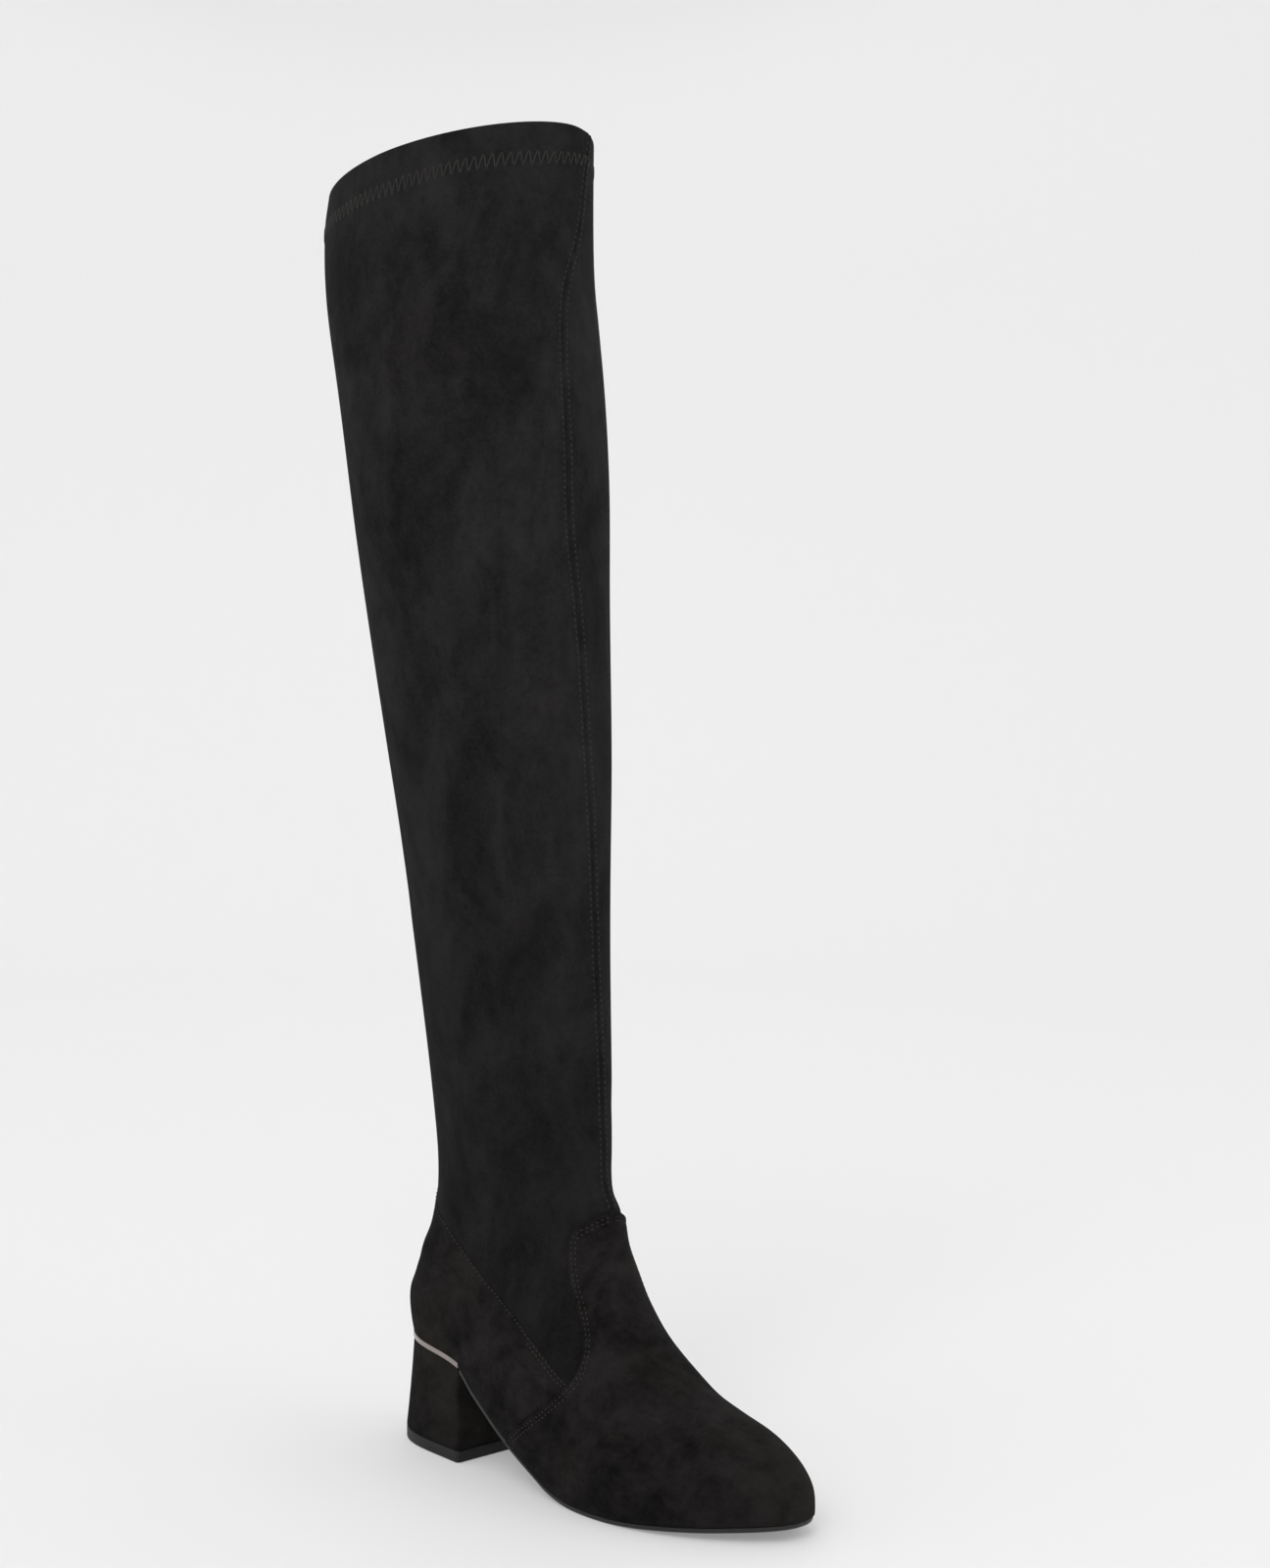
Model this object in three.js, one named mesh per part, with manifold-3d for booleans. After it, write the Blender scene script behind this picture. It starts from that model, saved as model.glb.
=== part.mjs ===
// Over-the-knee boot for the right foot. A stretch shaft, open at the collar and
// underneath, stands on a thin sole and a low covered block heel with a metal strip.
// The shoe is drawn with its toe to -Y, its outer side to -X and its tread at z = 0.
// One function gives the surface of the last and leg form; every panel is cut from it.
import * as THREE from 'three';
import Module from 'manifold-3d';
import { mergeVertices } from 'three/addons/utils/BufferGeometryUtils.js';

// Sizes of the boot, mm
const FOOT_LENGTH = 248;
const BALL_WIDTH = 82;
const HEEL_HEIGHT = 50;
const TOE_SPRING = 6;
const INSTEP_HEIGHT = 75;
const SHAFT_HEIGHT = 570;
const LEG_WIDTH = 104;

// Thicknesses and clearances, mm
const FIT_GAP = 0.3;
const WALL = 1.5;
const OVERLAY = 0.9;
const FACING = 0.9;
const FACING_DEPTH = 21;
const OUTSOLE = 2.4;
const INSOLE = 2.0;
const INSOLE_GAP = 0.9;
const EDGE_BEVEL = 0.5;
const SOLE_INSET = 0.6;

// Heel, mm and shares of the foot length
const HEEL_BREAST = 0.2419;
const HEEL_FLARE = 2.3;
const TOP_LIFT = 5.5;
const STRIP_WALL = 1.2;

// Zip on the inner side, mm
const TEETH_WIDTH = 4.6;
const SLOT_WIDTH = 6.4;
const TAPE_WIDTH = 24;
const TAPE = 0.7;
const TEETH_SINK = 0.2;
const SLIDER = { width: 8.6, length: 11, height: 2.4, bridge: 2, post: 1.4, clear: 2.6, bar: 1 };
const PULL = { width: 6.4, length: 22, thickness: 1.2, hole: 3.4, reach: 9.8 };

// Reach of the zip's pieces along its line, as shares of the line from its lower end
const SLOT_SHARE = { from: 0.045, to: 0.945 };
const TEETH_SHARE = { from: 0.07, to: 0.926 };
const SLIDER_SHARE = 0.924;

// Sections of the form from the toe back to the seat and up the leg. Each section runs
// from a point on the front line to a point on the low line behind or under it.
// at: share of the foot length. lift: share of the heel height. rise: share of the
// instep height (foot) or of the shaft height (leg). outer, inner and the shifts: shares
// of the ball width (foot) or of the leg width (leg). belly: where the section is widest,
// measured up from the low point. The last two are the roundness above and below it.
const COLUMNS = [
  'name', 'frontAt', 'frontLift', 'frontRise', 'lowAt', 'lowLift', 'lowRise',
  'outer', 'inner', 'frontShift', 'lowShift', 'belly', 'upperPower', 'lowerPower',
];
const FOOT = [
  ['tip', 0.9976, 0.00, 0.1667, 0.9976, 0.000, 0.0640, 0.0000, 0.0000, -0.024, -0.024, 0.60, 2.00, 2.40],
  ['toe_a', 0.9927, 0.00, 0.2356, 0.9940, 0.000, 0.0240, 0.0793, 0.0793, -0.024, -0.024, 0.55, 2.10, 2.80],
  ['toe_b', 0.9714, 0.00, 0.3195, 0.9754, 0.000, -0.0160, 0.1646, 0.1585, -0.024, -0.024, 0.52, 2.10, 3.20],
  ['toe_c', 0.9270, 0.00, 0.4147, 0.9310, 0.000, -0.0493, 0.2659, 0.2500, -0.018, -0.018, 0.48, 2.10, 3.60],
  ['toe_d', 0.8613, 0.00, 0.4980, 0.8589, 0.000, -0.0827, 0.3817, 0.3598, -0.006, -0.006, 0.45, 2.10, 4.00],
  ['ball_a', 0.7766, 0.02, 0.5652, 0.7581, 0.000, -0.1160, 0.4756, 0.4512, 0.000, 0.000, 0.42, 2.00, 4.00],
  ['ball_b', 0.7000, 0.06, 0.6749, 0.6532, 0.000, -0.1293, 0.5061, 0.4756, 0.000, 0.000, 0.38, 1.95, 4.00],
  ['vamp', 0.6223, 0.14, 0.8536, 0.5484, 0.037, -0.1407, 0.4756, 0.4512, 0.000, 0.000, 0.36, 1.90, 4.00],
  ['waist', 0.5823, 0.28, 0.9751, 0.4435, 0.233, -0.1648, 0.4329, 0.4085, 0.000, 0.004, 0.37, 1.90, 4.00],
  ['instep', 0.5574, 0.45, 1.0373, 0.3387, 0.532, -0.1904, 0.4085, 0.3902, 0.000, 0.007, 0.41, 1.95, 4.00],
  ['breast', 0.5437, 0.60, 1.0573, 0.2339, 0.894, -0.2587, 0.3720, 0.3720, 0.000, 0.006, 0.45, 2.00, 3.80],
  ['seat', 0.5417, 0.72, 1.0773, 0.1250, 0.961, -0.2099, 0.3598, 0.3720, 0.000, -0.030, 0.47, 2.00, 3.20],
  ['heel_a', 0.5390, 0.82, 1.1040, 0.0302, 0.989, -0.1220, 0.3598, 0.3659, 0.000, -0.059, 0.48, 2.00, 2.70],
];
const LEG = [
  ['heel_b', 0.5204, 0.90, 0.1505, -0.0050, 1.000, 0.0268, 0.2904, 0.2904, 0.000, -0.050, 0.48, 2.00, 2.30],
  ['heel_c', 0.5124, 0.96, 0.1602, 0.0312, 1.000, 0.0584, 0.2923, 0.2875, 0.000, -0.044, 0.49, 2.00, 2.20],
  ['heel_d', 0.5113, 1.00, 0.1777, 0.0768, 1.000, 0.0970, 0.3000, 0.2904, 0.005, -0.031, 0.50, 2.00, 2.10],
  ['ankle_a', 0.5103, 1.00, 0.2093, 0.1018, 1.000, 0.1479, 0.3173, 0.3029, 0.010, -0.010, 0.50, 2.00, 2.00],
  ['ankle_b', 0.5109, 1.00, 0.2584, 0.0905, 1.000, 0.2198, 0.3269, 0.3125, 0.014, 0.008, 0.50, 2.00, 2.00],
  ['shin_a', 0.5108, 1.00, 0.3286, 0.0634, 1.000, 0.3075, 0.3558, 0.3365, 0.024, 0.024, 0.50, 2.00, 2.00],
  ['shin_b', 0.5091, 1.00, 0.4163, 0.0335, 1.000, 0.4058, 0.3942, 0.3798, 0.038, 0.038, 0.50, 2.00, 2.00],
  ['calf_a', 0.5040, 1.00, 0.5128, 0.0082, 1.000, 0.5040, 0.4471, 0.4375, 0.058, 0.058, 0.50, 2.00, 2.00],
  ['calf_b', 0.4964, 1.00, 0.6093, -0.0085, 1.000, 0.6023, 0.5048, 0.5000, 0.082, 0.082, 0.50, 2.00, 2.00],
  ['knee', 0.4823, 1.00, 0.7058, -0.0250, 1.000, 0.7005, 0.5673, 0.5673, 0.106, 0.106, 0.50, 2.00, 2.00],
  ['thigh_a', 0.4747, 1.00, 0.8023, -0.0531, 1.000, 0.7918, 0.5865, 0.5865, 0.130, 0.130, 0.50, 2.00, 2.00],
  ['thigh_b', 0.4806, 1.00, 0.8900, -0.0928, 1.000, 0.8689, 0.5577, 0.5577, 0.154, 0.154, 0.50, 2.00, 2.00],
  ['thigh_c', 0.4995, 1.00, 0.9602, -0.1132, 1.000, 0.9268, 0.5192, 0.5192, 0.168, 0.168, 0.50, 1.95, 2.00],
  ['collar', 0.5154, 1.00, 0.9915, -0.1075, 1.000, 0.9616, 0.4904, 0.4904, 0.173, 0.173, 0.50, 1.85, 2.00],
];

// Line of the sole under the form: share of the foot length, of the heel height and of
// the toe spring.
const SOLE_LINE = [
  { at: -0.06, lift: 1.012, spring: 0.0 },
  { at: 0.02, lift: 0.998, spring: 0.0 },
  { at: 0.08, lift: 0.974, spring: 0.0 },
  { at: 0.16, lift: 0.95, spring: 0.0 },
  { at: 0.21, lift: 0.926, spring: 0.0 },
  { at: 0.235, lift: 0.892, spring: 0.0 },
  { at: 0.259, lift: 0.806, spring: 0.0 },
  { at: 0.286, lift: 0.698, spring: 0.0 },
  { at: 0.335, lift: 0.544, spring: 0.0 },
  { at: 0.393, lift: 0.364, spring: 0.0 },
  { at: 0.44, lift: 0.242, spring: 0.0 },
  { at: 0.488, lift: 0.136, spring: 0.0 },
  { at: 0.528, lift: 0.058, spring: 0.0 },
  { at: 0.569, lift: 0.014, spring: 0.0 },
  { at: 0.605, lift: 0.0, spring: 0.0 },
  { at: 0.69, lift: 0.0, spring: 0.0 },
  { at: 0.742, lift: 0.0, spring: 0.08 },
  { at: 0.802, lift: 0.0, spring: 0.26 },
  { at: 0.867, lift: 0.0, spring: 0.48 },
  { at: 0.931, lift: 0.0, spring: 0.72 },
  { at: 1.0, lift: 0.0, spring: 1.0 },
  { at: 1.06, lift: 0.0, spring: 1.2 },
];

// Edge of the vamp in side view, from the instep round to the sole.
const VAMP_EDGE = [
  { at: 0.6371, lift: 0.86, rise: 1.331 },
  { at: 0.5565, lift: 0.81, rise: 1.133 },
  { at: 0.5335, lift: 0.78, rise: 1.079 },
  { at: 0.5202, lift: 0.78, rise: 1.041 },
  { at: 0.5081, lift: 0.78, rise: 1.007 },
  { at: 0.5008, lift: 0.77, rise: 0.965 },
  { at: 0.5024, lift: 0.71, rise: 0.929 },
  { at: 0.5145, lift: 0.57, rise: 0.895 },
  { at: 0.5306, lift: 0.44, rise: 0.868 },
  { at: 0.5476, lift: 0.35, rise: 0.820 },
  { at: 0.5621, lift: 0.27, rise: 0.784 },
  { at: 0.5750, lift: 0.22, rise: 0.724 },
  { at: 0.5802, lift: 0.18, rise: 0.663 },
  { at: 0.5778, lift: 0.17, rise: 0.604 },
  { at: 0.5669, lift: 0.18, rise: 0.540 },
  { at: 0.5504, lift: 0.19, rise: 0.476 },
  { at: 0.5109, lift: 0.24, rise: 0.335 },
  { at: 0.4613, lift: 0.33, rise: 0.164 },
  { at: 0.4181, lift: 0.39, rise: 0.016 },
  { at: 0.3911, lift: 0.41, rise: -0.109 },
];

// Upper edge of the heel counter in side view, from the vamp back over the heel.
const COUNTER_EDGE = [
  { at: 0.6129, lift: 0.10, rise: 0.537 },
  { at: 0.5661, lift: 0.18, rise: 0.551 },
  { at: 0.5460, lift: 0.23, rise: 0.555 },
  { at: 0.5077, lift: 0.35, rise: 0.553 },
  { at: 0.4653, lift: 0.51, rise: 0.543 },
  { at: 0.4169, lift: 0.72, rise: 0.519 },
  { at: 0.3742, lift: 0.82, rise: 0.559 },
  { at: 0.3238, lift: 0.90, rise: 0.620 },
  { at: 0.2742, lift: 0.95, rise: 0.707 },
  { at: 0.2387, lift: 0.98, rise: 0.775 },
  { at: 0.1944, lift: 1.00, rise: 0.873 },
  { at: 0.1371, lift: 1.00, rise: 1.011 },
  { at: 0.0726, lift: 1.00, rise: 1.144 },
  { at: -0.0565, lift: 1.00, rise: 1.377 },
];

// Line of the zip in side view, from above the sole up the inner side of the leg.
const ZIP_LINE = [
  { at: 0.3891, lift: 0.58, rise: 0.191 },
  { at: 0.3798, lift: 0.75, rise: 0.344 },
  { at: 0.3657, lift: 0.80, rise: 0.457 },
  { at: 0.3669, lift: 0.84, rise: 0.585 },
  { at: 0.3762, lift: 0.89, rise: 0.788 },
  { at: 0.3633, lift: 0.95, rise: 0.920 },
  { at: 0.3435, lift: 0.99, rise: 1.051 },
  { at: 0.3306, lift: 1.00, rise: 1.261 },
  { at: 0.3274, lift: 1.00, rise: 1.499 },
  { at: 0.3355, lift: 1.00, rise: 1.701 },
  { at: 0.3319, lift: 1.00, rise: 1.887 },
  { at: 0.3181, lift: 1.00, rise: 2.135 },
  { at: 0.3032, lift: 1.00, rise: 2.344 },
  { at: 0.2968, lift: 1.00, rise: 2.653 },
  { at: 0.2964, lift: 1.00, rise: 3.111 },
  { at: 0.2964, lift: 1.00, rise: 3.297 },
];

const wasm = await Module();
wasm.setup();
const { Manifold, Mesh: SolidMesh } = wasm;

const BASE = OUTSOLE + FIT_GAP;
const OVERLAY_TOP = FIT_GAP + OVERLAY;

// Smooth curve through the rows of a table that never overshoots them.
function monotone(xs, ys, x) {
  const last = xs.length - 1;
  const at = Math.min(Math.max(x, xs[0]), xs[last]);
  let i = 0;
  while (i < last - 1 && at > xs[i + 1]) i += 1;
  const chord = (k) => (ys[k + 1] - ys[k]) / (xs[k + 1] - xs[k]);
  const slope = (k) => {
    if (k === 0 || k === last) return chord(Math.min(k, last - 1));
    const before = chord(k - 1);
    const after = chord(k);
    return before * after > 0 ? (2 * before * after) / (before + after) : 0;
  };
  const step = xs[i + 1] - xs[i];
  const s = (at - xs[i]) / step;
  const rise = ys[i + 1] - ys[i];
  return ys[i] + rise * s * s * (3 - 2 * s)
    + step * s * (1 - s) * (slope(i) * (1 - s) - slope(i + 1) * s);
}

const SOLE_AT = SOLE_LINE.map((row) => row.at * FOOT_LENGTH);
const SOLE_Z = SOLE_LINE.map((row) => BASE + row.lift * HEEL_HEIGHT + row.spring * TOE_SPRING);

// Height of the sole line, where panels meet the sole, at a distance from the heel.
function soleLine(u) {
  return monotone(SOLE_AT, SOLE_Z, u);
}

function sectionSizes(row, rise, width) {
  const share = Object.fromEntries(COLUMNS.map((column, k) => [column, row[k]]));
  return [
    share.frontAt * FOOT_LENGTH,
    BASE + share.frontLift * HEEL_HEIGHT + share.frontRise * rise,
    share.lowAt * FOOT_LENGTH,
    BASE + share.lowLift * HEEL_HEIGHT + share.lowRise * rise,
    share.outer * width,
    share.inner * width,
    share.frontShift * width,
    share.lowShift * width,
    share.belly,
    share.upperPower,
    share.lowerPower,
  ];
}

const SECTIONS = [
  ...FOOT.map((row) => sectionSizes(row, INSTEP_HEIGHT, BALL_WIDTH)),
  ...LEG.map((row) => sectionSizes(row, SHAFT_HEIGHT, LEG_WIDTH)),
];
const COLLAR = SECTIONS.length - 1;
const SEAT_ROW = FOOT.length - 1;

// Beyond the toe tip the sections mirror, so that the toe closes round.
const HEIGHTS = [1, 3];
const WIDTHS = [4, 5];
const BEFORE_TIP = SECTIONS[1].map((value, k) => {
  if (HEIGHTS.includes(k)) return 2 * SECTIONS[0][k] - value;
  return WIDTHS.includes(k) ? -value : value;
});
const PAST_COLLAR = SECTIONS[COLLAR].map((value, k) => 2 * value - SECTIONS[COLLAR - 1][k]);
const SPAN = [BEFORE_TIP, ...SECTIONS, PAST_COLLAR];

// Section sizes between the rows, on a cubic through four rows.
function sectionAt(t) {
  const i = Math.min(Math.max(Math.floor(t), 0), COLLAR - 1);
  const x = t - i;
  return SECTIONS[0].map((_, k) => {
    const [a, b, c, d] = [SPAN[i][k], SPAN[i + 1][k], SPAN[i + 2][k], SPAN[i + 3][k]];
    return b + 0.5 * x * (c - a + x * (2 * a - 5 * b + 4 * c - d + x * (3 * (b - c) + d - a)));
  });
}

// Point of the form: t runs from the toe tip to the collar, phi round the section from
// the front line over the outer side (positive) and the inner side (negative).
function formPoint(t, phi) {
  const [frontU, frontZ, lowU, lowZ, outer, inner, frontShift, lowShift, belly, upper, lower] =
    sectionAt(t);
  const up = Math.cos(phi);
  const out = Math.sin(phi);
  const power = 2 / (up >= 0 ? upper : lower);
  const reach = Math.abs(up) ** power;
  const height = up >= 0 ? belly + (1 - belly) * reach : belly - belly * reach;
  const side = Math.sign(out) * Math.abs(out) ** power * (out >= 0 ? outer : inner);
  return new THREE.Vector3(
    -(lowShift + height * (frontShift - lowShift) + side),
    -(lowU + height * (frontU - lowU)),
    lowZ + height * (frontZ - lowZ),
  );
}

// The same point moved out along the surface normal by an offset.
const PROBE = 0.02;
function skinPoint(t, phi, offset) {
  const atTip = t < PROBE;
  const turn = atTip ? Math.abs(phi) : phi;
  const row = atTip ? 2 * PROBE : Math.min(t, COLLAR - PROBE);
  const along = formPoint(row + PROBE, turn).sub(formPoint(row - PROBE, turn));
  const around = formPoint(row, turn + PROBE).sub(formPoint(row, turn - PROBE));
  const normal = along.cross(around);
  if (atTip) normal.x = 0;
  return formPoint(t, phi).addScaledVector(normal.normalize(), offset);
}

// Closed body from points and faces, turned outward.
function solidOf(points, faces) {
  const geometry = new THREE.BufferGeometry();
  const flat = points.flatMap((point) => point.toArray());
  geometry.setAttribute('position', new THREE.Float32BufferAttribute(flat, 3));
  geometry.setIndex(faces.flat());
  const merged = mergeVertices(geometry, 1e-4);
  const position = merged.getAttribute('position');
  const index = merged.getIndex().array;
  const corner = [new THREE.Vector3(), new THREE.Vector3(), new THREE.Vector3()];
  const kept = [];
  let volume = 0;
  for (let k = 0; k < index.length; k += 3) {
    const [a, b, c] = [index[k], index[k + 1], index[k + 2]];
    if (a !== b && b !== c && c !== a) {
      kept.push(a, b, c);
      [a, b, c].forEach((vertex, n) => corner[n].fromBufferAttribute(position, vertex));
      volume += corner[0].dot(corner[1].cross(corner[2]));
    }
  }
  const turned = volume < 0 ? kept.reverse() : kept;
  return new Manifold(new SolidMesh({
    numProp: 3,
    vertProperties: Float32Array.from(position.array),
    triVerts: Uint32Array.from(turned),
  }));
}

// Closed body through rings of equal count; a ring folded flat needs no cap.
function loft(rings, capStart) {
  const count = rings[0].length;
  const points = rings.flat();
  const faces = [];
  for (let i = 0; i < rings.length - 1; i += 1) {
    for (let j = 0; j < count; j += 1) {
      const next = (j + 1) % count;
      const [a, b] = [i * count + j, i * count + next];
      faces.push([a, b, b + count], [a, b + count, a + count]);
    }
  }
  const cap = (ring, first, turned) => {
    const centre = new THREE.Vector3();
    ring.forEach((point) => centre.add(point));
    const hub = points.push(centre.divideScalar(count)) - 1;
    for (let j = 0; j < count; j += 1) {
      const [a, b] = [first + j, first + ((j + 1) % count)];
      faces.push(turned ? [a, b, hub] : [b, a, hub]);
    }
  };
  if (capStart) cap(rings[0], 0, false);
  cap(rings[rings.length - 1], (rings.length - 1) * count, true);
  return solidOf(points, faces);
}

// Section where the facing inside the collar begins.
const collarDrop = SECTIONS[COLLAR][1] - SECTIONS[COLLAR - 1][1];
const facingFrom = COLLAR - FACING_DEPTH / collarDrop;

// Sections drawn: close together over the toe, heel and ankle, wider apart up the leg.
const AROUND = 30;
const ROWS_DRAWN = [
  0, 0.3, 0.6, 1, 1.5, 2, 2.5, 3, 4, 5, 6, 7, 8, 9, 10, 11, 12, 12.5, 13, 13.5, 14, 15, 16,
  17, 18, 19, 20, 21, 22, 23, 24, 25, 25.5, 26, facingFrom,
].sort((a, b) => a - b);

function ring(t, offset) {
  return Array.from({ length: AROUND }, (_, j) => {
    const phi = -Math.PI + (2 * Math.PI * j) / AROUND;
    return skinPoint(t, phi, offset);
  });
}

// Solid form between two sections, grown or shrunk by an offset.
const OPENING = 6;
function formSolid(offset, from, to) {
  const rows = [from, ...ROWS_DRAWN.filter((t) => t > from && t < to), Math.min(to, COLLAR)];
  const rings = rows.map((t) => ring(t, offset));
  if (to > COLLAR) {
    rings.push(rings[rings.length - 1].map((point) => point.clone().setZ(point.z + OPENING)));
  }
  return loft(rings, from > 0);
}

// Skin between two offsets, open at both ends.
const OVERRUN = 0.25;
function skin(low, high, from, to) {
  const core = formSolid(low, from > 0 ? from - OVERRUN : 0, to + OVERRUN);
  return formSolid(high, from, to).subtract(core);
}

// Body of a side view outline [u, z], carried across the boot from side to side.
function prism(line, fromV, toV) {
  const contour = line.map(([u, z]) => new THREE.Vector2(u, z));
  if (THREE.ShapeUtils.isClockWise(contour)) contour.reverse();
  const count = contour.length;
  const points = [fromV, toV].flatMap((v) => contour.map((at) => new THREE.Vector3(-v, -at.x, at.y)));
  const ends = THREE.ShapeUtils.triangulateShape(contour, []).flatMap((face) => {
    const left = THREE.ShapeUtils.area(face.map((k) => contour[k])) > 0;
    const [a, b, c] = left ? face : [...face].reverse();
    return [[a, b, c], [c + count, b + count, a + count]];
  });
  const sides = contour.flatMap((_, a) => {
    const b = (a + 1) % count;
    return [[b, a, a + count], [b, a + count, b + count]];
  });
  return solidOf(points, [...ends, ...sides]);
}

// Smooth side view line through the rows of a table, or a share of that line.
function sideLine(table, pieces, from = 0, to = 1) {
  const curve = new THREE.SplineCurve(table.map((row) => new THREE.Vector2(
    row.at * FOOT_LENGTH,
    BASE + row.lift * HEEL_HEIGHT + row.rise * INSTEP_HEIGHT,
  )));
  return Array.from({ length: pieces + 1 }, (_, k) => {
    const point = curve.getPoint(from + ((to - from) * k) / pieces);
    return [point.x, point.y];
  });
}

// The line moved sideways by a distance.
function beside(line, distance) {
  return line.map(([u, z], k) => {
    const [before, after] = [line[Math.max(k - 1, 0)], line[Math.min(k + 1, line.length - 1)]];
    const [du, dz] = [after[0] - before[0], after[1] - before[1]];
    const length = Math.hypot(du, dz);
    return [u - (dz / length) * distance, z + (du / length) * distance];
  });
}

const FAR = 2 * FOOT_LENGTH;
const UNDER = -FOOT_LENGTH;
const CUT = { from: -0.15, step: 0.01, count: 121 };
const soleRow = Array.from({ length: CUT.count }, (_, k) => (CUT.from + k * CUT.step) * FOOT_LENGTH);
const underSole = prism(
  [...soleRow.map((u) => [u, soleLine(u)]), [FAR, soleLine(FAR)], [FAR, UNDER], [-FAR, UNDER],
    [-FAR, soleLine(-FAR)]],
  -FAR,
  FAR,
);

// Zip on the inner side: a slot in the leg, the tape behind it and the teeth between.
const ZIP_PIECES = 30;
const ZIP_ROWS = { from: 7.5, to: 20 };
const zipLine = sideLine(ZIP_LINE, ZIP_PIECES);
const zipBand = (line, width) => prism(
  [...beside(line, width / 2), ...beside(line, -width / 2).reverse()],
  -LEG_WIDTH,
  0,
);
const slot = zipBand(sideLine(ZIP_LINE, ZIP_PIECES, SLOT_SHARE.from, SLOT_SHARE.to), SLOT_WIDTH);

// Upper: one hollow skin, open at the collar, underneath and along the zip.
const upperShell = formSolid(0, 0, COLLAR)
  .subtract(formSolid(-WALL, 0, COLLAR + OVERRUN))
  .subtract(underSole)
  .subtract(slot);

const tapeTop = -WALL - FIT_GAP;
const zipTape = skin(tapeTop - TAPE, tapeTop, ZIP_ROWS.from, ZIP_ROWS.to)
  .intersect(zipBand(zipLine, TAPE_WIDTH))
  .subtract(underSole);
const teethLine = sideLine(ZIP_LINE, ZIP_PIECES, TEETH_SHARE.from, TEETH_SHARE.to);
const zipTeeth = skin(tapeTop + FIT_GAP, -TEETH_SINK, ZIP_ROWS.from, ZIP_ROWS.to)
  .intersect(zipBand(teethLine, TEETH_WIDTH));

// Folded facing inside the collar, held by the zigzag stitch.
const facing = skin(tapeTop - FACING, tapeTop, facingFrom, COLLAR);

// Vamp and heel counter: panels laid on the upper, cut from it by their side view edges.
const VAMP_PIECES = 44;
const VAMP_ROWS = { from: 0, to: 13.5 };
const vampLine = sideLine(VAMP_EDGE, VAMP_PIECES);
const vampSide = (gap) => prism(
  [...beside(vampLine, -gap), [vampLine[VAMP_PIECES][0], UNDER], [FAR, UNDER], [FAR, vampLine[0][1]]],
  -FAR,
  FAR,
);
const vamp = skin(FIT_GAP, OVERLAY_TOP, VAMP_ROWS.from, VAMP_ROWS.to)
  .intersect(vampSide(0))
  .subtract(underSole);

// On the inner side the counter ends at the zip.
const COUNTER_PIECES = 30;
const COUNTER_ROWS = { from: 6, to: 16.5 };
const counterLine = sideLine(COUNTER_EDGE, COUNTER_PIECES);
const counterSide = prism([...counterLine, [-FAR, UNDER], [FAR, UNDER]], -FAR, FAR);
const zipFoot = zipLine[0];
const zipHead = zipLine[ZIP_PIECES];
const aheadOfZip = prism([...zipLine, [FAR, zipHead[1]], [FAR, zipFoot[1]]], -FAR, 0);
const belowZip = prism(
  [[zipFoot[0], UNDER], [FAR, UNDER], [FAR, zipFoot[1] + WALL], [zipFoot[0], zipFoot[1] + WALL]],
  -FAR,
  0,
);
const counter = skin(FIT_GAP, OVERLAY_TOP, COUNTER_ROWS.from, COUNTER_ROWS.to)
  .intersect(counterSide)
  .subtract(vampSide(FIT_GAP))
  .subtract(aheadOfZip)
  .subtract(belowZip)
  .subtract(slot)
  .subtract(underSole);

// Value between two limits where a falling measure passes zero.
const HALVINGS = 40;
function root(change, low, high) {
  let [a, b] = [low, high];
  for (let k = 0; k < HALVINGS; k += 1) {
    const middle = (a + b) / 2;
    if (change(middle) > 0) a = middle;
    else b = middle;
  }
  return (a + b) / 2;
}

// Both sides of the outline, as [u, v], where the form at an offset meets the sole line.
const PRINT_STEPS = 120;
function footprint(offset) {
  const above = (t, phi) => {
    const point = skinPoint(t, phi, offset);
    return point.z - soleLine(-point.y);
  };
  const seat = root((t) => -above(t, Math.PI), SEAT_ROW - 1, SEAT_ROW + 1);
  const rows = Array.from({ length: PRINT_STEPS + 1 }, (_, k) => (
    seat * Math.sin((Math.PI / 2) * (k / PRINT_STEPS))));
  const trace = (side) => rows.map((t) => {
    const phi = root((angle) => above(t, side * angle), Math.PI / 2, Math.PI);
    const point = skinPoint(t, side * phi, offset);
    return [-point.y, -point.x];
  }).sort((a, b) => a[0] - b[0]);
  return { outer: trace(1), inner: trace(-1) };
}

// Sideways place of one side of a footprint at a distance from the heel.
function across(side, u) {
  const k = Math.min(Math.max(side.findIndex((point) => point[0] >= u), 1), side.length - 1);
  const [a, b] = [side[k - 1], side[k]];
  const s = Math.min(Math.max((u - a[0]) / (b[0] - a[0]), 0), 1);
  return a[1] + s * (b[1] - a[1]);
}

const SOLE_PRINT = footprint(SOLE_INSET);
const BACK = SOLE_PRINT.outer[0][0];
const TOE = SOLE_PRINT.outer[SOLE_PRINT.outer.length - 1][0];
const BREAST = HEEL_BREAST * FOOT_LENGTH;

// Stations along a footprint, closer together at its round end.
function stations(roundEnd, other, pieces) {
  return Array.from({ length: pieces + 1 }, (_, k) => {
    const s = k / pieces;
    return roundEnd + (other - roundEnd) * s * s * (2 - s);
  });
}

// Loop round a footprint: up one side and back down the other at the same stations.
function loopOf(print, us) {
  const outer = us.map((u) => [u, across(print.outer, u)]);
  const inner = us.map((u) => [u, across(print.inner, u)]).reverse();
  return [...outer, ...inner];
}

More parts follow.
